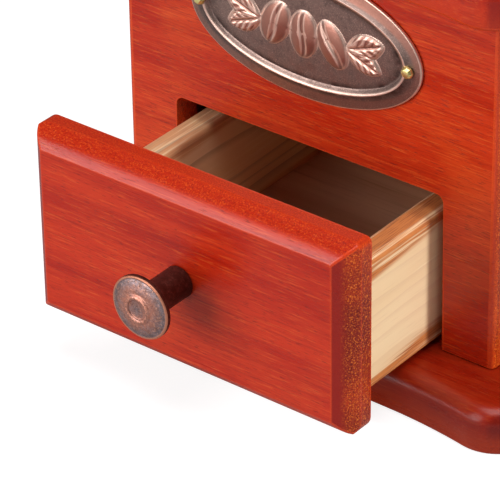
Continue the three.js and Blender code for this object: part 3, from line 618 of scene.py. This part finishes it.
# ---- moulded boards
def board_outline(half, flare, corner):
    """A square whose edges swell towards rounded corners."""
    lean = 0.17  # radians by which an edge leaves the straight where it meets the corner
    centre = half + flare - corner
    start_x = centre - corner * math.sin(lean)
    start_y = centre + corner * math.cos(lean)
    control = start_x - (start_y - half) / math.tan(lean)
    flat_end = 2 * control - start_x
    quarter = []
    for k in range(11):
        t = k / 10
        quarter.append((
            (1 - t) ** 2 * -start_x + 2 * t * (1 - t) * -control + t**2 * -flat_end,
            (1 - t) ** 2 * -start_y + (1 - (1 - t) ** 2) * -half,
        ))
    for k in range(11):
        t = k / 10
        quarter.append((
            (1 - t) ** 2 * flat_end + 2 * t * (1 - t) * control + t**2 * start_x,
            (1 - t**2) * -half + t**2 * -start_y,
        ))
    for k in range(1, 20):
        angle = -math.pi / 2 - lean + (math.pi / 2 + 2 * lean) * k / 20
        quarter.append((centre + corner * math.cos(angle), -centre + corner * math.sin(angle)))
    points = []
    for turn in range(4):
        c, s = math.cos(turn * math.pi / 2), math.sin(turn * math.pi / 2)
        points += [(c * x - s * y, s * x + c * y) for x, y in quarter]
    return points


def board(name, flare, holes, material, under):
    """A moulded board; flare is how far its corners stand out, under is its lower rim's rounding."""
    low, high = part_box(name)
    corner, upper = 12 * MM, 4.5 * MM
    outline = board_outline(high.x - flare, flare, corner)
    bm = slab(outline, "Z", low.z, high.z, under, upper, holes=holes, steps=9)
    piece(name + "_moulded", bm, "mill_body", material, [name])


BASE_SCREWS = [f"base_screw_{i}" for i in range(1, 5)]
screw_holes = [(*centre_of(screw).xy, 3.9 * MM, 3 * MM) for screw in BASE_SCREWS]
board("base_board", 2.3 * MM, screw_holes, WOOD_BASE_SHADED, 0.5 * MM)
board("top_board", 1.6 * MM, [(0, 0, 20 * MM, 1)], WOOD_TOP, 1.2 * MM)


# ---- box
def front_planks():
    """The planks above and beside the drawer, rounded at the outer arris and softened round the opening."""
    low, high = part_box("front_plank_lower")
    opening = 41.75 * MM  # half its width
    head = 56.6 * MM  # the height of its top
    arris, rear = 1.5 * MM, 0.2 * MM
    seam = (high.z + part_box("front_plank_upper")[0].z) / 2
    crack = 0.03  # share of the arris's rounding at the seam and the foot
    corners = [
        (low.x, low.z, 0), (-opening, low.z, 0), (-opening, head, 2.2 * MM), (opening, head, 2.2 * MM),
        (opening, low.z, 0), (high.x, low.z, 0), (high.x, seam, 0), (low.x, seam, 0),
    ]
    outline = filleted(corners, 8)
    weights = []
    for u, v in outline:
        if abs(u) > opening + 1e-6:
            weights.append((1.0, crack))
        else:
            jamb = 0.06 + 0.45 * unit((head - 3 * MM - v) / (4 * MM))
            weights.append((jamb, crack if v < low.z + 1e-6 else jamb))
    bm = slab(outline, "Y", low.y, high.y, arris, rear, weights=weights, steps=7)
    piece("front_plank_lower_opening", bm, "mill_body", WOOD_FRONT, ["front_plank_lower"])
    low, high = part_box("front_plank_upper")
    outline = [(low.x, seam), (high.x, seam), (high.x, high.z), (low.x, high.z)]
    bm = slab(outline, "Y", low.y, high.y, arris, rear, weights=[(1.0, crack)] * 4, steps=7)
    piece("front_plank_upper_panel", bm, "mill_body", WOOD_FRONT, ["front_plank_upper"])


front_planks()


def box_panel(node, radii, material):
    low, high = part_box(node)
    outline = rectangle(low.x, high.x, low.y, high.y, radii, 8)
    bm = slab(outline, "Z", low.z, high.z, 0.25 * MM, 0.25 * MM, steps=2)
    piece(node + "_wood", bm, "mill_body", material, [node])


WOOD_BACK = red_wood("red_wood_back", "X", 67.0, 1.7, 0.74)
box_panel("back_panel", (0, 0, 1.5 * MM, 1.5 * MM), WOOD_BACK)
box_panel("left_panel", (0.2 * MM,) * 4, WOOD_SIDE)
box_panel("right_panel", (0.2 * MM,) * 4, WOOD_SIDE)
paint_node(PINE_SIDE, "drawer_runner_left", "drawer_runner_right", "drawer_guide_left", "drawer_guide_right")


# ---- drawer
def bevel_line(width, rise):
    """Insets and depths down the bevel: a low slope, a long bend, a steep slope and the rim's arris."""
    slopes = [math.radians(angle) for angle in (0, 31, 35, 58, 62, 90)]
    lengths = [0.55 * MM, 1.6 * MM, 3.2 * MM, 1.8 * MM, 0.9 * MM]
    steps = 6
    inset, depth = 0.0, 0.0
    line = [(inset, depth)]
    for length, start, end in zip(lengths, slopes, slopes[1:]):
        for k in range(steps):
            slope = start + (end - start) * (k + 0.5) / steps
            inset += math.cos(slope) * length / steps
            depth += math.sin(slope) * length / steps
            line.append((inset, depth))
    across, down = width / inset, (rise + 0.35 * MM) / depth
    return [(width - x * across, y * down) for x, y in line]


def drawer_front():
    """Back slab with rounded corners, wide bevels meeting in mitres, and a raised flat."""
    low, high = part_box("drawer_front")
    centre = (low + high) / 2
    wide, tall = (high.x - low.x) / 2, (high.z - low.z) / 2
    thick = high.y - low.y
    bevel, edge = 5 * MM, 4.3 * MM
    corners = [2 * MM, 3.2 * MM, 1.7 * MM, 2.6 * MM]  # worn by hand, no two alike
    soft = 0.4 * MM
    spread = 1 - 1 / math.sqrt(2)
    stations = [(bevel + 0.6 * MM, 0.0)]
    stations += bevel_line(bevel, thick - edge)
    stations += [(0, thick - edge + 0.75 * MM), (0, thick - soft - 0.4 * MM), (0, thick - soft)]
    stations += [(soft * 0.3, thick - soft * 0.3), (soft, thick), (soft + 0.5 * MM, thick)]
    rings = []
    for inset, depth in stations:
        half_x, half_z = wide - inset, tall - inset
        if depth > thick - edge:
            radii = [max(corner - inset, 1 * MM) for corner in corners]
        else:
            radii = [max(0.6 * MM, corner - inset / spread) for corner in corners]
        outline = rectangle(-half_x, half_x, -half_z, half_z, radii, 6)
        rings.append([(centre.x + u, low.y + depth, centre.z + v) for u, v in outline])
    bm = bmesh.new()
    add_rings(bm, rings, capped=True)
    obj = piece("drawer_front_panel", bm, "drawer", WOOD_DRAWER, ["drawer_front"])
    sanded_from = 1.4  # mm behind the flat
    tag(obj, "sanded", lambda x, y, z: unit((y - low.y) / MM - sanded_from))


drawer_front()


def drawer_box():
    """Pine boards, more rounded along the top than underneath."""
    radii = (0.3 * MM, 0.3 * MM, 1.7 * MM, 1.7 * MM)
    for part, wood, across, along, front, rear, steps in (
        ("side_left", PINE_LEFT_SHADED, "X", "Y", 0.3, 0.5, 3),
        ("side_right", PINE_SIDE, "X", "Y", 0.3, 0.5, 3),
        ("back", PINE_BACK, "Y", "X", 0.2, 0.2, 2),
    ):
        node = f"drawer_{part}"
        low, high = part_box(node)
        u, w = AXES[across], AXES[along]
        outline = rectangle(low[u], high[u], low.z, high.z, radii, 7)
        bm = slab(outline, along, low[w], high[w], front * MM, rear * MM, steps=steps)
        piece(node + "_pine", bm, "drawer", wood, [node])
    paint_node(PLYWOOD, "drawer_bottom")


drawer_box()


def smooth_line(points, steps=8):
    """A Catmull-Rom curve through the points."""
    knots = [Vector(point) for point in points]
    ends = [2 * knots[0] - knots[1], *knots, 2 * knots[-1] - knots[-2]]
    line = []
    for i in range(1, len(ends) - 2):
        a, b, c, d = ends[i - 1:i + 3]
        for k in range(steps):
            t = k / steps
            square, cube = 2 * a - 5 * b + 4 * c - d, 3 * b - a - 3 * c + d
            line.append(0.5 * (2 * b + (c - a) * t + square * t**2 + cube * t**3))
    line.append(knots[-1])
    return [tuple(point) for point in line]


def millimetres(points):
    return [tuple(value * MM for value in point) for point in points]


def drawer_knob():
    """Straight stem flaring into a thin disc whose domed face carries a rubbed ring."""
    low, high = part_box("drawer_knob")
    centre = (low + high) / 2
    radius = (high.x - low.x) / 2 / MM
    crown = (high.y - low.y) / MM
    rim = crown - 1.4
    ring = 0.38 * radius
    stem = smooth_line([
        (4.3, 0.0), (4.25, 2.0), (4.25, 5.0), (4.3, 8.0), (4.65, 10.2), (5.6, 12.0), (7.3, 13.1)
    ])
    edge = filleted([
        (7.3, 13.1, 0), (radius, rim - 1.4, 0.2), (radius, rim, 0.4), (radius - 0.75, rim - 0.02, 0.1),
        (radius - 1.0, rim + 0.12, 0)
    ], 5, False)
    face = smooth_line([
        (radius - 1.0, rim + 0.12), (6.4, rim + 0.5), (5.2, rim + 0.8), (ring + 0.95, crown - 0.5),
        (ring + 0.45, crown - 0.15), (ring, crown), (ring - 0.5, crown - 0.15), (ring - 0.9, crown - 0.5),
        (1.0, crown - 0.6), (0.0, crown - 0.6)
    ])
    bm = lathe(millimetres(stem[:-1] + edge[1:-1] + face), 128, (centre.x, high.y, centre.z), FACING_FRONT)
    obj = piece("drawer_knob_turned", bm, "drawer", KNOB_COPPER, ["drawer_knob"])

    def out(x, z):
        return math.hypot(x - centre.x, z - centre.z) / MM

    def forward(y):
        return (high.y - y) / MM

    tag(obj, "face", lambda x, y, z: forward(y) > rim - 0.1 and out(x, z) < radius - 0.3)
    tag(obj, "rim", lambda x, y, z: forward(y) > rim - 0.35 and radius - 0.5 < out(x, z))
    tag(obj, "raise_and_sheen", lambda x, y, z: max(0.0, 1 - abs(out(x, z) - ring) / 0.75) if forward(y) > rim else 0.0)
    tag(obj, "warm", lambda x, y, z: max(0.0, 1 - abs(out(x, z) - 1.15 * ring) / (0.42 * radius)))


drawer_knob()
paint_node(STEEL, "knob_screw")


# ---- plaque
def turned_to(u, v, origin, angle, length, width):
    """Coordinates along and across a figure, in its lengths and widths from its origin."""
    c, s = math.cos(angle), math.sin(angle)
    along = (c * (u - origin[0]) + s * (v - origin[1])) / length
    across = (c * (v - origin[1]) - s * (u - origin[0])) / width
    return along, across


def bean(u, v, centre, angle, length, width):
    """Height of a coffee bean in relief: a dome with a curved crease."""
    p, q = turned_to(u, v, centre, angle, length, width)
    inside = np.clip(1 - p**2 - q**2, 0, 1)
    crease = q - 0.14 * np.sin(2.6 * p)
    groove = np.exp(-(crease / 0.12) ** 2) * np.clip(1.2 - p**2, 0, 1)
    return np.where(inside > 0, 1.05 * inside**0.6 - 0.55 * groove * inside**0.5, 0)


def leaf(u, v, root, angle, length, width):
    """Height of a pointed leaf in relief, with a midrib and veins."""
    p, q = turned_to(u, v, root, angle, length, width)
    reach = np.clip(np.sin(np.clip(p, 0, 1) * math.pi), 0, 1) ** 0.8
    inside = np.where((p > 0) & (p < 1), reach - np.abs(q), -1)
    body = 0.7 * np.clip(inside * 3.0, 0, 1) ** 0.5
    rib = 0.3 * np.exp(-(q / 0.14) ** 2)
    veins = 0.07 * np.cos((p * 5 - np.abs(q) * 1.4) * TURN) * np.clip(np.abs(q) * 4, 0, 1)
    return np.where(inside > 0, body - rib + veins * np.clip(inside * 3, 0, 1), 0)


def plaque_motif(u, v):
    """Three coffee beans between two pairs of leaves, in mm above the sunk field."""
    motif = np.zeros_like(u)
    for centre, angle in (((-8.6, 0.4), 1.15), ((8.8, -0.4), 2.0), ((0.1, -0.2), 1.5)):
        motif = np.maximum(motif, bean(u, v, centre, angle, 6.6, 4.3))
    for way in (-1, 1):
        root = (way * 13.2, 0.0)
        turn = 0.0 if way > 0 else math.pi
        motif = np.maximum(motif, leaf(u, v, root, turn + way * 0.36, 12.0, 3.4))
        motif = np.maximum(motif, leaf(u, v, root, turn - way * 0.36, 11.0, 3.2))
    return motif


def plaque():
    """Pressed oval plate: sloping flange, a crest, an inner slope down to the field, and the beans on it."""
    low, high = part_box("plaque")
    centre = (low + high) / 2
    wide, tall = (high.x - low.x) / 2 / MM, (high.z - low.z) / 2 / MM
    edge, crest, field = 0.45, 1.5, 0.6  # heights in mm
    bands = [  # semi-axes of the band's outer ellipse, rings in it
        ((wide - 6.3, tall - 5.9), 100), ((wide - 4.4, tall - 4.2), 18), ((wide, tall), 30),
    ]
    sides = 540
    angle = np.arange(sides) * TURN / sides
    loops, start = [], (0.0, 0.0)
    for band, (end, count) in enumerate(bands):
        for k in range(1, count + 1):
            t = k / count
            u = (start[0] + (end[0] - start[0]) * t) * np.cos(angle)
            v = (start[1] + (end[1] - start[1]) * t) * np.sin(angle)
            if band == 0:
                height = field + plaque_motif(u, v) * min(1.0, (1 - t) * 12)
            elif band == 1:
                height = np.full_like(u, field + (crest - field) * math.sin(t * math.pi / 2) ** 1.6)
            else:
                fall = (crest - edge - 0.2) * (0.2 * (1 - (1 - t) ** 4) + 0.8 * t)
                height = np.full_like(u, crest - fall - 0.2 * max(0.0, (t - 0.92) / 0.08) ** 2)
            points = zip(centre.x + u * MM, high.y - height * MM, centre.z + v * MM)
            loops.append([tuple(point) for point in points])
        start = end
    bm = bmesh.new()
    made = add_rings(bm, [*loops, [(x, high.y, z) for x, _, z in loops[-1]]])
    bm.faces.new(made[-1])
    middle = field + plaque_motif(np.zeros(1), np.zeros(1))[0]
    hub = bm.verts.new((centre.x, high.y - middle * MM, centre.z))
    for i in range(sides):
        bm.faces.new([hub, made[0][i], made[0][(i + 1) % sides]])
    obj = piece("plaque_relief", bm, "mill_body", PLAQUE_COPPER, ["plaque"], sharp=60)

    def across(x, z, band):
        """Distance from the middle, 1 on the outer ellipse of the band."""
        return math.hypot((x - centre.x) / MM / bands[band][0][0], (z - centre.z) / MM / bands[band][0][1])

    # Relief height on the field; on the flange a copper colouring that rises towards the upper edge as a
    # painted sheen.
    def relief_and_sheen(x, y, z):
        if across(x, z, 0) < 1:
            return ((high.y - y) / MM - field) / (crest - field)
        return (0.42 + 0.2 * above(z)) * unit((across(x, z, 1) - 1.03) / 0.06)

    def above(z):
        """0 on the lower half of the plaque, rising to 1 towards its upper edge."""
        return unit(0.25 + 2 * (z - centre.z) / (high.z - low.z))

    # Patina at the foot of the crest's inner slope; on the flange beside the crest a painted shade, darkest
    # on the lower half.
    def patina_and_shade(x, y, z):
        inside, outside = across(x, z, 0), across(x, z, 1)
        if inside < 1.01:
            return max(0.0, inside - 0.9) / 0.1
        return max(0.0, 1 - (outside - 1.005) / 0.1) * (1 - 0.9 * above(z)) if outside > 1.005 else 0.0

    tag(obj, "raise_and_sheen", relief_and_sheen)
    tag(obj, "patina_and_shade", patina_and_shade)


plaque()


def plaque_nails():
    """Brass nails with hammered, eight-sided domed heads."""
    flange = 1.3 * MM  # height of the plaque under a nail
    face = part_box("plaque")[1].y - flange
    head = millimetres([
        (0.0, -6.0), (0.6, -5.4), (0.6, -0.1), (1.6, -0.1), (1.75, 0.25), (1.55, 0.8), (1.15, 1.25),
        (0.95, 1.33), (0.0, 1.36)
    ])
    for side in ("left", "right"):
        node = f"plaque_nail_{side}"
        centre = centre_of(node)
        bm = lathe(head, 8, (centre.x, face, centre.z), FACING_FRONT)
        bmesh.ops.bevel(bm, geom=bm.edges, offset=0.08 * MM, segments=1, affect="EDGES", clamp_overlap=True)
        piece(node + "_head", bm, "mill_body", NAIL_BRASS, [node], sharp=12)


plaque_nails()


# ---- hopper
def hopper_bowl():
    """Spun bowl with a rolled rim and a round hole in its floor."""
    low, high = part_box("hopper_bowl")
    outer = high.x / MM
    base, top = low.z / MM, high.z / MM
    sheet = 1.2
    outside = smooth_line([
        (18.6, base), (30, base), (37, base + 0.15), (42.6, base + 2.6), (45.6, base + 7.2),
        (outer - 0.25, base + 12.5), (outer - 0.1, base + 20), (outer - 0.1, top - 2.4)
    ], 7)
    bead = [(outer - 1.0 + 1.0 * math.cos(a), top - 1.1 + 1.1 * math.sin(a))
            for a in [(-0.25 + 1.3 * k / 12) * math.pi for k in range(13)]]
    inside = smooth_line([
        (outer - 1.75, top - 2.6), (outer - sheet - 0.15, top - 6), (outer - sheet - 0.1, base + 20),
        (outer - sheet - 0.25, base + 13), (44.4, base + 8.2), (41.6, base + 3.9), (36.6, base + 1.4),
        (30, base + sheet), (18.6, base + sheet)
    ], 7)
    profile = [*outside, *bead, *inside, (18.0, base + sheet - 0.4), (18.0, base + 0.4)]
    profile.append(profile[0])
    bm = lathe(millimetres(profile), 160)
    piece("hopper_bowl_spun", bm, "mill_body", COPPER, ["hopper_bowl"], sharp=50)


hopper_bowl()


def slotted(profile, sides, slot_width, slot_low, slot_reach, tilt, place):
    """A turned screw with a slot sawn across its head."""
    bm = lathe(millimetres(profile), sides)
    head = bpy.data.meshes.new("head")
    bm.to_mesh(head)
    bm.free()
    cutter = bmesh.new()
    size = Matrix.Diagonal((slot_reach * MM, slot_width * MM, slot_reach * MM, 1))
    middle = Matrix.Translation((0, 0, (slot_low + slot_reach / 2) * MM))
    bmesh.ops.create_cube(cutter, size=1.0, matrix=middle @ size)
    saw = bpy.data.meshes.new("saw")
    cutter.to_mesh(saw)
    cutter.free()
    body, tool = placed("head", head), placed("saw", saw)
    boolean = body.modifiers.new("slot", "BOOLEAN")
    boolean.object = tool
    boolean.operation = "DIFFERENCE"
    boolean.solver = "EXACT"
    result = bpy.data.meshes.new_from_object(body.evaluated_get(bpy.context.evaluated_depsgraph_get()))
    bm = bmesh.new()
    bm.from_mesh(result)
    bpy.data.objects.remove(body)
    bpy.data.objects.remove(tool)
    return moved(bm, tilt, place)


def hopper_bolts():
    """Slotted bolts that hold the bowl down, each turned differently."""
    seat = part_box("hopper_bowl")[0].z + 1.45 * MM
    for i in range(1, 4):
        node = f"hopper_bolt_{i}"
        low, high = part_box(node)
        shank = (low.z - seat) / MM
        profile = [
            (0, shank), (1.5, shank), (1.9, shank + 0.5), (1.9, 0), (3.5, 0), (3.7, 0.25), (3.7, 1.1),
            (3.3, 1.7), (2.4, 2.25), (1.2, 2.5), (0, 2.55)
        ]
        turn = Matrix.Rotation(0.6 * i, 4, "Z")
        centre = (low + high) / 2
        bm = slotted(profile, 40, 0.9, 1.5, 8, turn, (centre.x, centre.y, seat))
        piece(node + "_slotted", bm, "mill_body", STEEL, [node])


hopper_bolts()


def ribbon(stations, thickness, soft):
    """A flat bar along stations (centre, sideways, up, half width), with softened edges."""
    bm = bmesh.new()
    half = thickness / 2
    rings = []
    for centre, sideways, up, width in stations:
        radius = min(soft, width * 0.9)
        outline = rectangle(-width, width, -half, half, (radius,) * 4, 3)
        rings.append([tuple(centre + sideways * u + up * v) for u, v in outline])
    add_rings(bm, rings, capped=True)
    return bm


def top_bridge():
    """Copper strap over the bowl, swelling round the bush and turned down outside the rim."""
    low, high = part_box("top_bridge")
    half_width = 6.5 * MM
    thick = 2 * MM
    hub = high.x
    bend = 3 * MM
    level = high.z - thick / 2
    reach = high.y - thick / 2
    stations = []
    sideways = Vector((1, 0, 0))
    straight = reach - bend
    for k in range(81):
        y = -straight + 2 * straight * k / 80
        width = half_chord(hub, y)
        if width < half_width:
            ease = half_width * (1 + 0.55 * math.exp(-((abs(y) - hub * 0.85) / (0.3 * hub)) ** 2))
            width = min(ease, hub) if abs(y) < hub * 1.35 else half_width
        stations.append((Vector((0, y, level)), sideways, Vector((0, 0, 1)), width))
    for way in (-1, 1):
        part = []
        for k in range(1, 9):
            angle = k / 8 * math.pi / 2
            y = straight + bend * math.sin(angle)
            z = level - bend * (1 - math.cos(angle))
            up = Vector((0, way * math.sin(angle), math.cos(angle)))
            part.append((Vector((0, way * y, z)), sideways, up, half_width))
        end = low.z + half_width
        for k in range(1, 15):
            drop = (level - bend - end) * min(1, k / 4) + (end - low.z) * max(0, (k - 4) / 10)
            z = level - bend - drop
            below = max(0, end - z)
            width = half_chord(half_width, below, 0.6 * MM)
            part.append((Vector((0, way * reach, z)), sideways, Vector((0, way, 0)), width))
        stations = stations + part if way > 0 else part[::-1] + stations
    bm = ribbon(stations, thick, 0.5 * MM)
    piece("top_bridge_strap", bm, "mill_body", COPPER, ["top_bridge"], sharp=50)


top_bridge()


def bridge_screws():
    """Slotted screws through the bridge's ends and the bowl's rim."""
    profile = [
        (0, -8), (1.5, -8), (1.5, 0), (2.9, 0), (3.05, 0.3), (3.0, 1.0), (2.3, 1.65), (1.2, 1.95), (0, 2)
    ]
    for side, way in (("front", -1), ("back", 1)):
        node = f"bridge_screw_{side}"
        low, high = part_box(node)
        seat = abs(low.y if way < 0 else high.y) - 2 * MM
        tilt = FACING_FRONT if way < 0 else Matrix.Rotation(-math.pi / 2, 4, "X")
        bm = slotted(profile, 40, 0.8, 1.2, 8, tilt, (0, way * seat, (low.z + high.z) / 2))
        piece(node + "_slotted", bm, "mill_body", STEEL, [node])


bridge_screws()


def closing(outline):
    return [*outline, outline[0]]


def turned_piece(node, profile, body, material, sides=72, ripple=None, sharp=40):
    """A lathe piece on the node's own upright axis, heights in mm above its lowest point."""
    centre = centre_of(node)
    bm = lathe(millimetres(profile), sides, (centre.x, centre.y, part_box(node)[0].z), ripple=ripple)
    piece(node + "_turned", bm, body, material, [node], sharp=sharp)


BORE = 4.1  # radius in mm that clears the spindle


def washer(node, radius, thickness):
    section = [(BORE, 0, 0.1), (radius, 0, 0.3), (radius, thickness, 0.3), (BORE, thickness, 0.1)]
    turned_piece(node, closing(filleted(section, 3)), node, STEEL)


turned_piece("bridge_bush", closing(filleted([
    (BORE, 0, 0.3), (6.2, 0, 0.4), (6.2, 5.5, 0.05), (9, 5.5, 0.2), (9, 7, 0.6), (BORE, 7, 0.3)
], 4)), "mill_body", BRASS)


def spring():
    """Compression spring with its end coils closed up."""
    low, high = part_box("spring")
    wire, coil, turns = 0.8 * MM, 5.9 * MM, 6.5
    closed, pitch = 0.8, 1.1 * MM  # turns closed up at each end, and their rise
    bottom, top = low.z + wire, high.z - wire
    steps, sides = 320, 12
    bm = bmesh.new()
    rings = []
    for k in range(steps + 1):
        t = k / steps
        angle = TURN * turns * t
        eased = unit((t * turns - closed) / (turns - 2 * closed))
        rise = pitch * (min(t * turns, closed) + max(0, t * turns - turns + closed)) / closed
        z = bottom + rise + (top - bottom - 2 * pitch) * eased
        centre = Vector((coil * math.cos(angle), coil * math.sin(angle), z))
        out = Vector((math.cos(angle), math.sin(angle), 0))
        up = Vector((0, 0, 1))
        ring = []
        for j in range(sides):
            a = TURN * j / sides
            ring.append(tuple(centre + out * (wire * math.cos(a)) + up * (wire * math.sin(a))))
        rings.append(ring)
    add_rings(bm, rings, capped=True)
    piece("spring_coil", bm, "mill_body", STEEL, ["spring"])


spring()
washer("spring_seat", 7.4, 1)


# ---- spindle, adjuster and crank
def spindle():
    """Turned shaft with a collar under the spring, a thread for the nut and a seat for the crank."""
    low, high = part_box("spindle")
    collar = (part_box("spring_seat")[0].z - low.z) / MM - 0.3
    top = (high.z - low.z) / MM
    arm = (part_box("crank_arm")[0].z - low.z) / MM
    profile = [(0, 0), (2.6, 0), (3, 0.5), (3, 7.5), (4, 10), (4, collar - 2.7)]
    profile += [(6.6, collar - 2.7), (7, collar - 2.3), (7, collar - 0.4), (6.6, collar), (4, collar)]
    thread, pitch = arm - 14, 1.25
    profile += [(4, thread)]
    for k in range(10):
        foot = thread + pitch * k
        profile += [(3.75, foot + 0.3), (4, foot + 0.7), (4, foot + 0.95)]
    profile += [(4, arm - 0.3), (2.4, arm - 0.3), (2.4, top - 0.5), (2, top), (0, top)]
    turned_piece("spindle", profile, "spindle", STEEL, 48, sharp=25)


spindle()


def knurled(angle, radius, height):
    """36 rounded ridges round the widest part."""
    if radius < 10 * MM:
        return radius
    return radius + 0.28 * MM * abs(math.cos(18 * angle)) ** 0.6 - 0.1 * MM


turned_piece("adjusting_nut", closing(filleted([
    (BORE, 0, 0.2), (7.5, 0, 0.3), (7.5, 1, 0.2), (11, 1, 0.7), (11, 6, 0.8), (8.4, 6, 0.2), (8, 5.6, 0.2),
    (BORE, 5.6, 0.2)
], 4)), "adjusting_nut", BRASS, 288, knurled, 50)
washer("lock_washer", 8, 1.2)


def crank_arm():
    """Flat arm with a round hub and a round end, stepped up between them."""
    low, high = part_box("crank_arm")
    pin = centre_of("grip_pin").x
    thick = 3 * MM
    hub = -low.x
    tip = high.x - pin
    neck_start, neck_end = 9 * MM, 30 * MM
    step_start, step_end = 20 * MM, 42 * MM
    spread = 1 * MM  # widening beyond the neck
    rise = high.z - low.z - thick

    def level(x):
        t = unit((x - step_start) / (step_end - step_start))
        return low.z + thick / 2 + rise * t * t * (3 - 2 * t)

    def width(x):
        if x < 0:
            return half_chord(hub, x, 0.5 * MM)
        if x > pin:
            return half_chord(tip, x - pin, 0.5 * MM)
        t = unit(x / neck_end)
        shoulder = half_chord(hub, x) if x < neck_start else 0
        widening = spread * max(0, (x - neck_end) / (pin - neck_end))
        return max(shoulder, hub + (tip - spread - hub) * t * t * (3 - 2 * t) + widening)

    places = [hub * -math.cos(k / 12 * math.pi / 2) for k in range(12)]
    places += [k / 70 * pin for k in range(71)]
    places += [pin + tip * math.sin(k / 12 * math.pi / 2) for k in range(1, 13)]
    stations = []
    for x in places:
        slope = (level(x + 0.1 * MM) - level(x - 0.1 * MM)) / (0.2 * MM)
        up = Vector((-slope, 0, 1)).normalized()
        stations.append((Vector((x, 0, level(x))), Vector((0, 1, 0)), up, width(x)))
    bm = ribbon(stations, thick, 0.7 * MM)
    piece("crank_arm_bar", bm, "spindle", COPPER, ["crank_arm"], sharp=50)


crank_arm()


def acorn(angle, radius, height):
    """Hexagonal below, round above, with the hexagon's corners chamfered."""
    if height > 4.4 * MM or radius < 0.1 * MM:
        return radius
    across = 4.5 * MM
    sector = (angle + math.pi / 6) % (math.pi / 3) - math.pi / 6
    flat = across / math.cos(sector)
    return min(flat, radius)


turned_piece("cap_nut", [
    (0, 0), (4.7, 0), (5.2, 0.5), (5.2, 1.5), (5.2, 3.5), (4.75, 4.05), (4.3, 4.2), (4.2, 4.5), (4.15, 5.4),
    (3.9, 6.4), (3.3, 7.5), (2.4, 8.4), (1.2, 8.95), (0, 9.1)
], "spindle", BRASS, 96, acorn, 30)


def grip_set():
    """Turned pear-shaped grip with a groove near its foot, and its brass pin and washer."""
    low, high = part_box("grip")
    tall = (high.z - low.z) / MM
    body = smooth_line([
        (7.6, 0.35), (7.9, 1.6), (7.6, 3.0), (7.7, 5.0), (8.7, 9.0), (10.3, 13.0), (12.3, 18.0), (13.7, 23.0),
        (14.0, 26.0), (13.5, 29.5), (12.0, 32.4), (9.6, 34.6), (6.6, 35.8), (5.2, tall)
    ], 6)
    bore = 2.4
    profile = [(bore, 0), (7.2, 0), *body, (4.6, tall - 0.2), (4.4, tall - 3), (bore, tall - 3)]
    groove_height, groove_size = 3.4, 0.45
    grooved = []
    for radius, height in profile:
        dip = groove_size * math.exp(-((height - groove_height) / groove_size) ** 2) if radius > 5 else 0
        grooved.append((radius - dip, height))
    turned_piece("grip", closing(grooved), "grip", WOOD_GRIP, 120)
    paint_node(BRASS, "grip_pin", "grip_washer")


grip_set()

paint_node(IRON, "burr_housing", "outer_burr", "inner_burr", "lower_bridge")
paint_node(STEEL, "burr_nut", "bridge_nut_front", "bridge_nut_back")
paint_node(STEEL, "lower_bridge_screw_1", "lower_bridge_screw_2")
paint_node(STEEL, "hopper_nut_1", "hopper_nut_2", "hopper_nut_3", *BASE_SCREWS)


# ---- floor, light and camera
def floor():
    bm = bmesh.new()
    bmesh.ops.create_grid(bm, x_segments=8, y_segments=8, size=30.0)
    mesh = bpy.data.meshes.new("floor")
    bm.to_mesh(mesh)
    bm.free()
    obj = placed("floor", mesh)
    paint = Paint("pale_floor")
    tone = paint.noise(paint.even(300), 2.0)
    colour = paint.mix(linear(176, 176, 176), linear(170, 170, 171), tone)
    seen = paint.node("LightPath").outputs["Is Camera Ray"]
    glow = paint.times(seen, 0.8)  # burnt out white, as on a light table, without lighting the mill
    paint.set(Base_Color=colour, Roughness=0.85, Emission_Color=(1, 1, 1, 1), Emission_Strength=glow)
    mesh.materials.append(paint.material)
    obj.location.z = -0.2 * MM  # clear of the base board's underside


floor()


def area_light(name, place, target, size, power, shines=True):
    """shines is whether the light shows in reflections."""
    data = bpy.data.lights.new(name, "AREA")
    data.shape = "RECTANGLE"
    data.size, data.size_y = size
    data.energy = power
    obj = placed(name, data)
    obj.location = place
    obj.rotation_euler = (Vector(target) - Vector(place)).to_track_quat("-Z", "Y").to_euler()
    obj.visible_glossy = shines


area_light("key", (-0.52, -1.12, 0.44), (0, 0, 0.05), (1.0, 0.85), 12.9)
area_light("side", (1.30, 0.15, 0.45), (0, 0, 0.05), (0.14, 0.14), 11.8, False)
area_light("overhead", (0.2, -0.22, 1.3), (0, 0, 0.1), (0.9, 0.9), 10)

world = bpy.data.worlds.new("studio")
world.use_nodes = True
world.node_tree.nodes["Background"].inputs["Color"].default_value = (1, 1, 1, 1)
world.node_tree.nodes["Background"].inputs["Strength"].default_value = 0.1
bpy.context.scene.world = world
bpy.context.scene.view_settings.view_transform = "Standard"


CAMERA_PLACE = (0.45806, -0.65408, 0.49199)
CAMERA_ANGLES = (38.62, 31.78, -0.894)  # round from the front, up, and roll, in degrees


def camera():
    """The photograph's view."""
    azimuth, elevation, roll = [math.radians(angle) for angle in CAMERA_ANGLES]
    flat = math.cos(elevation)
    back = Vector((math.sin(azimuth) * flat, -math.cos(azimuth) * flat, math.sin(elevation)))
    right = Vector((math.cos(azimuth), math.sin(azimuth), 0))
    up = back.cross(right)
    across = right * math.cos(roll) + up * math.sin(roll)
    upward = up * math.cos(roll) - right * math.sin(roll)
    data = bpy.data.cameras.new("camera")
    data.lens = 251.2  # mm, with a sensor 36 mm wide
    data.sensor_width = 36
    data.clip_end = 20
    obj = placed("camera", data)
    turn = Matrix((across, upward, back)).transposed().to_4x4()
    obj.matrix_world = Matrix.Translation(CAMERA_PLACE) @ turn
    bpy.context.scene.camera = obj


camera()
